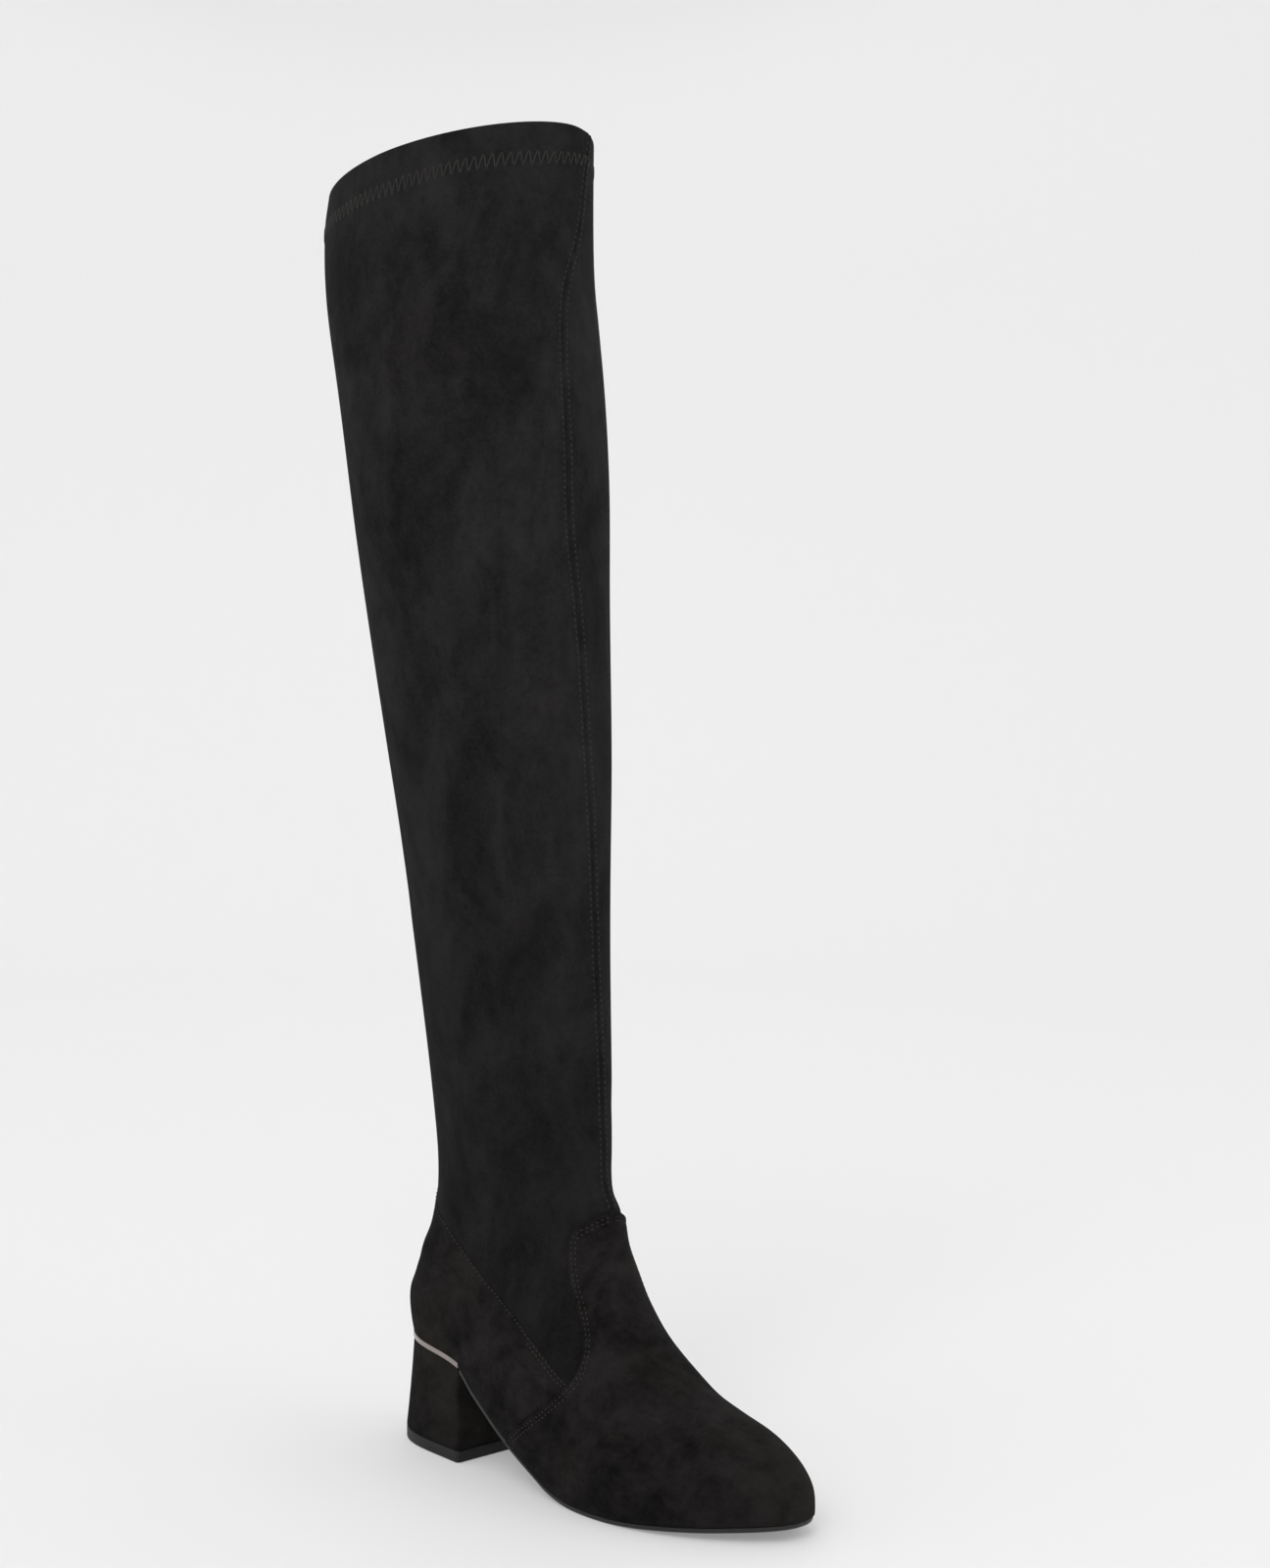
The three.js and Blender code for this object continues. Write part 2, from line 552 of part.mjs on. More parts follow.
// The loop moved inward, by a distance that may change along the shoe.
const SAME_PLACE = 1e-6;
function inset(loop, distance) {
  const count = loop.length;
  const away = (k, step) => {
    let n = (k + step + count) % count;
    while (Math.hypot(loop[n][0] - loop[k][0], loop[n][1] - loop[k][1]) < SAME_PLACE) {
      n = (n + step + count) % count;
    }
    return loop[n];
  };
  return loop.map(([u, v], k) => {
    const [before, after] = [away(k, -1), away(k, 1)];
    const [du, dv] = [after[0] - before[0], after[1] - before[1]];
    const length = Math.hypot(du, dv);
    const shift = distance(u);
    return [u + (dv / length) * shift, v - (du / length) * shift];
  });
}

// Layered slab on a loop: each level has its own inset and its own height along the shoe.
function slab(loop, levels) {
  const count = loop.length;
  const half = count / 2;
  const points = levels.flatMap((level) => inset(loop, level.inset)
    .map(([u, v]) => new THREE.Vector3(-v, -u, level.height(u))));
  const faces = [];
  for (let i = 0; i < levels.length - 1; i += 1) {
    for (let a = 0; a < count; a += 1) {
      const b = (a + 1) % count;
      const [low, high] = [i * count, (i + 1) * count];
      faces.push([low + a, low + b, high + b], [low + a, high + b, high + a]);
    }
  }
  const top = (levels.length - 1) * count;
  for (let k = 0; k < half - 1; k += 1) {
    const [a, b, c, d] = [k, k + 1, count - 2 - k, count - 1 - k];
    faces.push([b, a, c], [c, a, d], [top + a, top + b, top + c], [top + a, top + c, top + d]);
  }
  return solidOf(points, faces);
}

const even = (distance) => () => distance;
const overSole = (drop) => (u) => soleLine(u) - drop;
const plateTop = FIT_GAP;
const plateLow = plateTop + OUTSOLE;

// Outsole: full length, drawn in over the heel to leave room for the metal strip.
const seatInset = STRIP_WALL + FIT_GAP;
const drawnIn = (extra) => (u) => {
  const s = THREE.MathUtils.smoothstep(u, BREAST, BREAST + seatInset);
  return extra + seatInset * (1 - s);
};
const HEEL_STATIONS = 12;
const FRONT_STATIONS = 36;
const soleStations = [
  ...stations(BACK, BREAST, HEEL_STATIONS),
  BREAST + seatInset / 2,
  ...stations(TOE, BREAST + seatInset, FRONT_STATIONS).reverse(),
];
const outsole = slab(loopOf(SOLE_PRINT, soleStations), [
  { height: overSole(plateLow), inset: drawnIn(EDGE_BEVEL) },
  { height: overSole(plateLow - EDGE_BEVEL), inset: drawnIn(0) },
  { height: overSole(plateTop), inset: drawnIn(0) },
]);

// Heel: covered block with a straight breast, metal strip round its top, rubber top lift.
const heelLoop = loopOf(SOLE_PRINT, stations(BACK, BREAST, HEEL_STATIONS));
const flare = (share, extra) => (u) => {
  const back = 1 - THREE.MathUtils.clamp((u - BACK) / (BREAST - BACK), 0, 1);
  return extra - HEEL_FLARE * share * back;
};
const heelTop = plateLow + FIT_GAP;
const heelBlock = slab(heelLoop, [
  { height: even(TOP_LIFT + FIT_GAP), inset: flare(1, 0) },
  { height: overSole(heelTop + EDGE_BEVEL), inset: flare(0, 0) },
  { height: overSole(heelTop), inset: flare(0, EDGE_BEVEL) },
]);
const topLift = slab(heelLoop, [
  { height: even(0), inset: flare(1, EDGE_BEVEL) },
  { height: even(EDGE_BEVEL), inset: flare(1, 0) },
  { height: even(TOP_LIFT), inset: flare(1, 0) },
]);
const insideStrip = inset(heelLoop, even(STRIP_WALL))
  .map(([u, v]) => [u > BREAST - 2 * STRIP_WALL ? u + 4 * STRIP_WALL : u, v]);
const strip = slab(heelLoop, [
  { height: overSole(plateLow), inset: even(0) },
  { height: overSole(plateTop), inset: even(0) },
]).subtract(slab(insideStrip, [
  { height: overSole(plateLow + OUTSOLE), inset: even(0) },
  { height: overSole(plateTop - OUTSOLE), inset: even(0) },
]));

// Insole: lies on the sole inside the upper.
const INNER_PRINT = footprint(-WALL - FIT_GAP);
const innerBack = INNER_PRINT.outer[0][0];
const innerToe = INNER_PRINT.outer[INNER_PRINT.outer.length - 1][0];
const insole = slab(loopOf(INNER_PRINT, [
  ...stations(innerBack, BREAST, HEEL_STATIONS),
  ...stations(innerToe, BREAST, FRONT_STATIONS).reverse().slice(1),
]), [
  { height: overSole(0), inset: even(INSOLE_GAP) },
  { height: overSole(-INSOLE), inset: even(INSOLE_GAP) },
]);

// Slider and pull tab: drawn on their own axes, then set on the zip line.
const box = (x, y, z, cx, cy, cz) => {
  const geometry = new THREE.BoxGeometry(x, y, z).translate(cx, cy, cz);
  const corners = geometry.getAttribute('position');
  const points = Array.from({ length: corners.count }, (_, k) => (
    new THREE.Vector3().fromBufferAttribute(corners, k)));
  const index = Array.from(geometry.getIndex().array);
  const faces = Array.from({ length: index.length / 3 }, (_, k) => index.slice(3 * k, 3 * k + 3));
  return solidOf(points, faces);
};

// Place on the inner side of the form nearest to a side view point.
const SEARCH = { rowStep: 0.02, fromPhi: -2, toPhi: -1, phiStep: 0.01 };
function onInnerSide([u, z], fromRow, toRow) {
  const nearest = { gap: Infinity };
  for (let t = fromRow; t <= toRow; t += SEARCH.rowStep) {
    for (let phi = SEARCH.fromPhi; phi <= SEARCH.toPhi; phi += SEARCH.phiStep) {
      const point = formPoint(t, phi);
      const gap = Math.hypot(-point.y - u, point.z - z);
      if (gap < nearest.gap) Object.assign(nearest, { gap, t, phi });
    }
  }
  return nearest;
}
const [sliderPlace] = sideLine(ZIP_LINE, 1, SLIDER_SHARE, 1);
const onSkin = onInnerSide(sliderPlace, SEAT_ROW, ZIP_ROWS.to);
const seatPoint = skinPoint(onSkin.t, onSkin.phi, 0);
const outward = skinPoint(onSkin.t, onSkin.phi, 1).sub(seatPoint);
const upward = new THREE.Vector3(0, 0, 1);
upward.addScaledVector(outward, -upward.dot(outward)).normalize();
const sideways = new THREE.Vector3().crossVectors(upward, outward);
const onZip = new THREE.Matrix4().makeBasis(sideways, upward, outward).setPosition(seatPoint);
const onLeg = (solid) => solid.transform(onZip.elements);

const { width, length, height, bridge, post, clear, bar } = SLIDER;
const bodyLow = FIT_GAP;
const bodyTop = bodyLow + height;
const postY = (length - post) / 2;
const postZ = bodyTop + (clear + bar) / 2;
const sliderBody = box(width, length, height, 0, 0, bodyLow + height / 2)
  .add(box(bridge, post, clear + bar, 0, postY, postZ))
  .add(box(bridge, post, clear + bar, 0, -postY, postZ))
  .add(box(bridge, length, bar, 0, 0, bodyTop + clear + bar / 2));
const slider = onLeg(sliderBody);

// The pull's crosspiece sits under the bridge and is its hinge.
const hingeY = -length / 2 + post + PULL.thickness;
const hingeZ = bodyTop + clear / 2;
const armWidth = (PULL.width - PULL.hole) / 2;
const armSide = (PULL.hole + armWidth) / 2;
const pullTop = hingeY + PULL.thickness / 2;
const armY = pullTop - PULL.reach / 2;
const tabY = pullTop - (PULL.length + PULL.reach) / 2;
const pullBody = box(PULL.width, PULL.thickness, PULL.thickness, 0, hingeY, hingeZ)
  .add(box(armWidth, PULL.reach, PULL.thickness, armSide, armY, hingeZ))
  .add(box(armWidth, PULL.reach, PULL.thickness, -armSide, armY, hingeZ))
  .add(box(PULL.width, PULL.length - PULL.reach, PULL.thickness, 0, tabY, hingeZ));
const pull = onLeg(pullBody);

// Named pieces with their materials.
function piece(name, solid, look) {
  const { vertProperties, triVerts, numProp } = solid.getMesh();
  const geometry = new THREE.BufferGeometry();
  const flat = Float32Array.from(
    { length: (vertProperties.length / numProp) * 3 },
    (_, k) => vertProperties[Math.floor(k / 3) * numProp + (k % 3)],
  );
  geometry.setAttribute('position', new THREE.BufferAttribute(flat, 3));
  geometry.setIndex(Array.from(triVerts));
  geometry.computeVertexNormals();
  const mesh = new THREE.Mesh(geometry, new THREE.MeshStandardMaterial(look));
  mesh.name = name;
  return mesh;
}

const SUEDE = { color: 0x201f20, roughness: 0.95, metalness: 0 };
const RUBBER = { color: 0x17171a, roughness: 0.55, metalness: 0 };
const GUNMETAL = { color: 0x8d8580, roughness: 0.25, metalness: 1 };
const group = new THREE.Group();
group.name = 'over_the_knee_boot';
group.add(
  piece('upper_shell', upperShell, SUEDE),
  piece('vamp', vamp, SUEDE),
  piece('heel_counter', counter, SUEDE),
  piece('collar_facing', facing, SUEDE),
  piece('outsole', outsole, RUBBER),
  piece('insole', insole, { color: 0x2a2724, roughness: 0.9, metalness: 0 }),
  piece('heel_block', heelBlock, SUEDE),
  piece('heel_strip', strip, GUNMETAL),
  piece('top_lift', topLift, RUBBER),
  piece('zip_tape', zipTape, { color: 0x1a1a1b, roughness: 0.9, metalness: 0 }),
  piece('zip_teeth', zipTeeth, { color: 0x1f1f21, roughness: 0.5, metalness: 0 }),
  piece('zip_slider', slider, GUNMETAL),
  piece('zip_pull', pull, GUNMETAL),
);

// Set the boot on the floor, centred over the origin.
const bounds = new THREE.Box3().setFromObject(group);
const middle = bounds.getCenter(new THREE.Vector3());
group.children.forEach((mesh) => mesh.geometry.translate(-middle.x, -middle.y, -bounds.min.z));

export default group;
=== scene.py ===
"""Over-the-knee boot for the right foot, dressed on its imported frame.

The toe points to -Y, the outer side to -X and the floor is z = 0. Shapes are worked out in
millimetres and put into their meshes in metres.
"""
import math

import bpy
import numpy as np
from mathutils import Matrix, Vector


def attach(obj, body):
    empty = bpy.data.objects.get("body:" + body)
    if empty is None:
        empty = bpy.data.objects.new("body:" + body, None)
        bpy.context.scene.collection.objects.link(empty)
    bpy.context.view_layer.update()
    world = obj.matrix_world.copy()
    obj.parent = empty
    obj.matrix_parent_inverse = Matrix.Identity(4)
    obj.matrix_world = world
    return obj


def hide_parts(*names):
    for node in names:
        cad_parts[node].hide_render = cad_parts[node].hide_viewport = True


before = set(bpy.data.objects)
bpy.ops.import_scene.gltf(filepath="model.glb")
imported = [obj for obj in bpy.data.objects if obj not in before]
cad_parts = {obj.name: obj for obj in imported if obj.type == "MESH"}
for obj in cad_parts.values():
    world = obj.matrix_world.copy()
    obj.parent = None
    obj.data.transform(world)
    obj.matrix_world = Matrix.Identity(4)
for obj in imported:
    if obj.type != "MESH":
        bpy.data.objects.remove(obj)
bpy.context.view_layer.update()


# Camera: level, a little above the middle of the shaft, 45 degrees round from the toe
# towards the outer side, on a lens of normal length.
camera = bpy.data.objects.new("camera", bpy.data.cameras.new("camera"))
bpy.context.scene.collection.objects.link(camera)
camera.location = (-0.73456, -0.78738, 0.32224)
CAMERA_TURN, CAMERA_PITCH = math.radians(45), math.radians(-0.137)
look = Vector((
    math.sin(CAMERA_TURN) * math.cos(CAMERA_PITCH),
    math.cos(CAMERA_TURN) * math.cos(CAMERA_PITCH),
    math.sin(CAMERA_PITCH),
))
camera.rotation_euler = look.to_track_quat("-Z", "Y").to_euler()
camera.data.sensor_width = 36
camera.data.lens = 53.81
bpy.context.scene.camera = camera


# Studio: a pale floor that curves up into a wall all round, a broad soft light from the
# left, weaker ones from the right and from behind, and an even pale sky.
def linear(code):
    """Scene colour of an sRGB hex value."""
    share = np.array([int(code[k:k + 2], 16) for k in (1, 3, 5)]) / 255
    value = np.where(share <= 0.04045, share / 12.92, ((share + 0.055) / 1.055) ** 2.4)
    return (*value.tolist(), 1.0)


def add(tree, kind, inputs=None, **settings):
    """Adds one node with its settings; inputs gives sockets a value or another node's output."""
    made = tree.nodes.new("ShaderNode" + kind)
    for key, value in settings.items():
        setattr(made, key, value)
    for key, value in (inputs or {}).items():
        if isinstance(value, bpy.types.NodeSocket):
            tree.links.new(value, made.inputs[key])
        else:
            made.inputs[key].default_value = value
    return made


def new_material(name):
    """Empty node material; returns it with its tree and its texture place, in metres."""
    material = bpy.data.materials.new(name)
    material.use_nodes = True
    tree = material.node_tree
    tree.nodes.clear()
    return material, tree, add(tree, "TexCoord").outputs["Object"]


def finish_material(material, tree, inputs):
    """Puts the shader's inputs on a Principled surface and joins it to the output."""
    surface = add(tree, "BsdfPrincipled", inputs)
    add(tree, "OutputMaterial", {"Surface": surface.outputs["BSDF"]})
    return material


def grid_faces(rows, columns, closed=False):
    """Quads of a grid of rows by columns, as indices; closed joins the last column to the first."""
    across = columns if closed else columns - 1
    i, j = np.meshgrid(np.arange(rows - 1), np.arange(across), indexing="ij")
    n = (j + 1) % columns
    quads = np.stack([i * columns + j, i * columns + n, (i + 1) * columns + n, (i + 1) * columns + j], -1)
    return quads.reshape(-1, 4)


def weld(points, quads):
    """Joins points that share a place, turns quads with a joined corner into triangles and drops
    those with fewer corners. Returns the numbers of the points kept, the faces and which quads
    they come from."""
    _, first, number = np.unique(np.round(points, 3), axis=0, return_index=True, return_inverse=True)
    faces, kept = [], []
    for index, quad in enumerate(number.reshape(-1)[quads].tolist()):
        face = [v for k, v in enumerate(quad) if v != quad[k - 1]]
        if len(set(face)) == len(face) and len(face) > 2:
            faces.append(face)
            kept.append(index)
    return first, faces, kept


def add_piece(name, points, faces, materials, body, slot, replaced=(), kinds=None):
    """Mesh object from points in mm and faces, riding on a body and standing for CAD nodes."""
    mesh = bpy.data.meshes.new(name)
    mesh.from_pydata((points / 1000).tolist(), [], faces)
    for material in materials:
        mesh.materials.append(material)
    if kinds is not None:
        mesh.polygons.foreach_set("material_index", np.asarray(kinds, np.int32))
    mesh.polygons.foreach_set("use_smooth", np.full(len(mesh.polygons), True))
    mesh.update()
    piece = bpy.data.objects.new(name, mesh)
    bpy.context.scene.collection.objects.link(piece)
    if body:
        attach(piece, body)
    if replaced:
        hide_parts(*replaced)
    return piece


FLOOR_DROP, FLOOR_FLAT, FLOOR_CURVE, WALL_HEIGHT, FLOOR_SIDES = 0.2, 2600, 1400, 2600, 96
pale, tree, _ = new_material("painted studio floor")
finish_material(pale, tree, {
    "Base Color": linear("#cbcbcb"), "Roughness": 0.9, "Specular IOR Level": 0.1,
    "Emission Color": linear("#ffffff"), "Emission Strength": 0.235,
})
turn = np.linspace(0, math.pi / 2, 16)
reach = np.concatenate([[1, 600, 1500, FLOOR_FLAT], FLOOR_FLAT + FLOOR_CURVE * np.sin(turn[1:]),
                        [FLOOR_FLAT + FLOOR_CURVE]])
rise = np.concatenate([[0, 0, 0, 0], FLOOR_CURVE * (1 - np.cos(turn[1:])),
                       [FLOOR_CURVE + WALL_HEIGHT]]) - FLOOR_DROP
round_turn = np.linspace(0, 2 * math.pi, FLOOR_SIDES + 1)[:-1]
bowl = np.stack([reach[:, None] * np.cos(round_turn), reach[:, None] * np.sin(round_turn),
                 np.repeat(rise[:, None], FLOOR_SIDES, 1)], -1)
floor_faces = [list(range(FLOOR_SIDES))] + grid_faces(len(reach), FLOOR_SIDES, True).tolist()
floor = add_piece("floor", bowl.reshape(-1, 3), floor_faces, [pale], None, None)


def soft_light(name, place, size, power):
    """Square area light that faces the middle of the boot."""
    light = bpy.data.objects.new(name, bpy.data.lights.new(name, "AREA"))
    light.data.size, light.data.energy = size, power
    light.location = place
    light.rotation_euler = (Vector((0, 0, 0.3)) - Vector(place)).to_track_quat("-Z", "Y").to_euler()
    bpy.context.scene.collection.objects.link(light)


soft_light("key", (-2.9, -1.7, 2.9), 2.4, 67)
soft_light("fill", (1.1, -3.4, 1.9), 2.6, 25)
soft_light("rim", (1.9, 2.4, 3.0), 2.0, 16)
world = bpy.data.worlds.new("even sky")
world.use_nodes = True
sky = world.node_tree.nodes["Background"].inputs
sky["Color"].default_value, sky["Strength"].default_value = linear("#ffffff"), 0.8
bpy.context.scene.world = world
bpy.context.scene.view_settings.view_transform = "Standard"


# Upper: the stretch suede skin of foot and shaft, sewn from an outer and an inner panel
# that meet in a seam down the front. It is lined, and folded in at the collar.
FOOT_LENGTH, BALL_WIDTH, HEEL_HEIGHT, TOE_SPRING = 248.0, 82.0, 50.0, 6.0
INSTEP_HEIGHT, SHAFT_HEIGHT, LEG_WIDTH = 75.0, 570.0, 104.0
OUTSOLE, GAP, WALL = 2.4, 0.3, 1.5
BASE = OUTSOLE + GAP
CENTRE = np.array([-13.2649, -110.2656, 0.0])
# Sections of the form from the toe to the seat and up the leg, as shares of the sizes above:
# front_at, front_lift, front_rise, low_at, low_lift, low_rise, outer, inner, front_shift,
# low_shift, belly, upper_power, lower_power
FOOT = np.array([
    (0.9976, 0, 0.1667, 0.9976, 0, 0.064, 0, 0, -0.024, -0.024, 0.6, 2, 2.4),  # tip
    (0.9927, 0, 0.2356, 0.994, 0, 0.024, 0.0793, 0.0793, -0.024, -0.024, 0.55, 2.1, 2.8),  # toe_a
    (0.9714, 0, 0.3195, 0.9754, 0, -0.016, 0.1646, 0.1585, -0.024, -0.024, 0.52, 2.1, 3.2),  # toe_b
    (0.927, 0, 0.4147, 0.931, 0, -0.0493, 0.2659, 0.25, -0.018, -0.018, 0.48, 2.1, 3.6),  # toe_c
    (0.8613, 0, 0.498, 0.8589, 0, -0.0827, 0.3817, 0.3598, -0.006, -0.006, 0.45, 2.1, 4),  # toe_d
    (0.7766, 0.02, 0.5652, 0.7581, 0, -0.116, 0.4756, 0.4512, 0, 0, 0.42, 2, 4),  # ball_a
    (0.7, 0.06, 0.6749, 0.6532, 0, -0.1293, 0.5061, 0.4756, 0, 0, 0.38, 1.95, 4),  # ball_b
    (0.6223, 0.14, 0.8536, 0.5484, 0.037, -0.1407, 0.4756, 0.4512, 0, 0, 0.36, 1.9, 4),  # vamp
    (0.5823, 0.28, 0.9751, 0.4435, 0.233, -0.1648, 0.4329, 0.4085, 0, 0.004, 0.37, 1.9, 4),  # waist
    (0.5574, 0.45, 1.0373, 0.3387, 0.532, -0.1904, 0.4085, 0.3902, 0, 0.007, 0.41, 1.95, 4),  # instep
    (0.5437, 0.6, 1.0573, 0.2339, 0.894, -0.2587, 0.372, 0.372, 0, 0.006, 0.45, 2, 3.8),  # breast
    (0.5417, 0.72, 1.0773, 0.125, 0.961, -0.2099, 0.3598, 0.372, 0, -0.03, 0.47, 2, 3.2),  # seat
    (0.539, 0.82, 1.104, 0.0302, 0.989, -0.122, 0.3598, 0.3659, 0, -0.059, 0.48, 2, 2.7),  # heel_a
])
LEG = np.array([
    (0.5204, 0.9, 0.1505, -0.005, 1, 0.0268, 0.2904, 0.2904, 0, -0.05, 0.48, 2, 2.3),  # heel_b
    (0.5124, 0.96, 0.1602, 0.0312, 1, 0.0584, 0.2923, 0.2875, 0, -0.044, 0.49, 2, 2.2),  # heel_c
    (0.5113, 1, 0.1777, 0.0768, 1, 0.097, 0.3, 0.2904, 0.005, -0.031, 0.5, 2, 2.1),  # heel_d
    (0.5103, 1, 0.2093, 0.1018, 1, 0.1479, 0.3173, 0.3029, 0.01, -0.01, 0.5, 2, 2),  # ankle_a
    (0.5109, 1, 0.2584, 0.0905, 1, 0.2198, 0.3269, 0.3125, 0.014, 0.008, 0.5, 2, 2),  # ankle_b
    (0.5108, 1, 0.3286, 0.0634, 1, 0.3075, 0.3558, 0.3365, 0.024, 0.024, 0.5, 2, 2),  # shin_a
    (0.5091, 1, 0.4163, 0.0335, 1, 0.4058, 0.3942, 0.3798, 0.038, 0.038, 0.5, 2, 2),  # shin_b
    (0.504, 1, 0.5128, 0.0082, 1, 0.504, 0.4471, 0.4375, 0.058, 0.058, 0.5, 2, 2),  # calf_a
    (0.4964, 1, 0.6093, -0.0085, 1, 0.6023, 0.5048, 0.5, 0.082, 0.082, 0.5, 2, 2),  # calf_b
    (0.4823, 1, 0.7058, -0.025, 1, 0.7005, 0.5673, 0.5673, 0.106, 0.106, 0.5, 2, 2),  # knee
    (0.4747, 1, 0.8023, -0.0531, 1, 0.7918, 0.5865, 0.5865, 0.13, 0.13, 0.5, 2, 2),  # thigh_a
    (0.4806, 1, 0.89, -0.0928, 1, 0.8689, 0.5577, 0.5577, 0.154, 0.154, 0.5, 2, 2),  # thigh_b
    (0.4995, 1, 0.9602, -0.1132, 1, 0.9268, 0.5192, 0.5192, 0.168, 0.168, 0.5, 1.95, 2),  # thigh_c
    (0.5154, 1, 0.9915, -0.1075, 1, 0.9616, 0.4904, 0.4904, 0.173, 0.173, 0.5, 1.85, 2),  # collar
])
# Sole line: at (of the foot length), lift (of the heel height), spring (of the toe spring)
SOLE_LINE = np.array([
    (-0.06, 1.012, 0), (0.02, 0.998, 0), (0.08, 0.974, 0),
    (0.16, 0.95, 0), (0.21, 0.926, 0), (0.235, 0.892, 0),
    (0.259, 0.806, 0), (0.286, 0.698, 0), (0.335, 0.544, 0),
    (0.393, 0.364, 0), (0.44, 0.242, 0), (0.488, 0.136, 0),
    (0.528, 0.058, 0), (0.569, 0.014, 0), (0.605, 0, 0),
    (0.69, 0, 0), (0.742, 0, 0.08), (0.802, 0, 0.26),
    (0.867, 0, 0.48), (0.931, 0, 0.72), (1, 0, 1),
    (1.06, 0, 1.2),
])


def section_sizes(table, rise, width):
    """Rows of shares as mm: front and low points, half widths, shifts, belly and roundness."""
    c = table.T
    return np.stack([
        c[0] * FOOT_LENGTH, BASE + c[1] * HEEL_HEIGHT + c[2] * rise,
        c[3] * FOOT_LENGTH, BASE + c[4] * HEEL_HEIGHT + c[5] * rise,
        *(c[6:10] * width), *c[10:13],
    ], -1)


ROWS = np.vstack([
    section_sizes(FOOT, INSTEP_HEIGHT, BALL_WIDTH), section_sizes(LEG, SHAFT_HEIGHT, LEG_WIDTH),
])
COLLAR = len(ROWS) - 1
BEFORE_TIP = ROWS[1].copy()
BEFORE_TIP[[1, 3]] = 2 * ROWS[0, [1, 3]] - ROWS[1, [1, 3]]
BEFORE_TIP[[4, 5]] *= -1
SPAN = np.vstack([BEFORE_TIP, ROWS, 2 * ROWS[-1] - ROWS[-2]])


def form(t, phi):
    """Surface of last and leg. t counts sections from the toe tip to the collar, phi runs round
    one from the front line over the outer side (+) or the inner side (-). The sizes at t lie on a
    cubic through four rows. A section is a superellipse: its height goes with a power of cos(phi)
    above and below the belly, its side with the same power of sin(phi), and both are carried
    from the low point to the front point of the section."""
    t, phi = np.broadcast_arrays(np.asarray(t, float), np.asarray(phi, float))
    i = np.clip(np.floor(t).astype(int), 0, COLLAR - 1)
    x = (t - i)[..., None]
    a, b, c, d = SPAN[i], SPAN[i + 1], SPAN[i + 2], SPAN[i + 3]
    sizes = b + 0.5 * x * (c - a + x * (2 * a - 5 * b + 4 * c - d + x * (3 * (b - c) + d - a)))
    front_u, front_z, low_u, low_z, outer, inner, front_v, low_v, belly, upper, lower = np.moveaxis(sizes, -1, 0)
    up, out = np.cos(phi), np.sin(phi)
    power = 2 / np.where(up >= 0, upper, lower)
    share = np.abs(up) ** power
    height = belly + np.where(up >= 0, (1 - belly) * share, -belly * share)
    side = np.sign(out) * np.abs(out) ** power * np.where(out >= 0, outer, inner)
    return np.stack([
        -(low_v + height * (front_v - low_v) + side),
        -(low_u + height * (front_u - low_u)),
        low_z + height * (front_z - low_z),
    ], -1) - CENTRE


PROBE = 0.02


def outward(t, phi):
    """Unit normal of the form: across product of its slopes along t and round phi."""
    t, phi = np.broadcast_arrays(np.asarray(t, float), np.asarray(phi, float))
    tip = t < PROBE
    row = np.where(tip, 2 * PROBE, np.minimum(t, COLLAR - PROBE))
    turn = np.where(tip, np.abs(phi), phi)
    forward = form(row + PROBE, turn) - form(row - PROBE, turn)
    around = form(row, turn + PROBE) - form(row, turn - PROBE)
    normal = np.cross(forward, around)
    normal[..., 0] = np.where(tip, 0, normal[..., 0])
    return normal / np.linalg.norm(normal, axis=-1, keepdims=True)


def sole_z(u):
    """Height of the sole line at u mm from the heel: a cubic through the table that never overshoots."""
    xs = SOLE_LINE[:, 0] * FOOT_LENGTH
    ys = BASE + SOLE_LINE[:, 1] * HEEL_HEIGHT + SOLE_LINE[:, 2] * TOE_SPRING
    chord = np.diff(ys) / np.diff(xs)
    before, after = chord[:-1], chord[1:]
    total = np.where(before + after == 0, 1, before + after)
    inside = np.where(before * after > 0, 2 * before * after / total, 0)
    slope = np.concatenate([chord[:1], inside, chord[-1:]])
    at = np.clip(u, xs[0], xs[-1])
    k = np.clip(np.searchsorted(xs, at, side="left") - 1, 0, len(xs) - 2)
    step = xs[k + 1] - xs[k]
    s = (at - xs[k]) / step
    return (ys[k] + (ys[k + 1] - ys[k]) * s * s * (3 - 2 * s)
            + step * s * (1 - s) * (slope[k] * (1 - s) - slope[k + 1] * s))


def side_view(point):
    """Distance from the heel and height of points, in mm."""
    return -(point[..., 1] + CENTRE[1]), point[..., 2]


def along(line):
    """Distance in mm along a line of points, from its first."""
    return np.concatenate([[0], np.cumsum(np.linalg.norm(np.diff(line, axis=0), axis=1))])


def low_turn(t, side, lift=0.0):
    """Turn, from the front line, at which the form grown by lift meets the sole line: by halving."""
    t = np.asarray(t, float)
    low, high = np.full(t.shape, math.pi / 2), np.full(t.shape, math.pi)
    for _ in range(34):
        half = (low + high) / 2
        u, z = side_view(form(t, side * half) + lift * outward(t, side * half))
        above = z > sole_z(u)
        low, high = np.where(above, half, low), np.where(above, high, half)
    return (low + high) / 2


def seat_row(lift=0.0):
    """Section whose low point lies on the sole line."""
    low, high = float(len(FOOT) - 2), float(len(FOOT))
    for _ in range(34):
        half = np.array((low + high) / 2)
        u, z = side_view(form(half, math.pi) + lift * outward(half, np.array(math.pi)))
        low, high = (low, float(half)) if z > sole_z(u) else (float(half), high)
    return (low + high) / 2


def mm_per_turn(t, phi):
    """Length on the form of one radian round it, kept from vanishing at the toe."""
    step = 0.01
    return np.maximum(np.linalg.norm(form(t, phi + step) - form(t, phi - step), axis=-1) / (2 * step), 25)


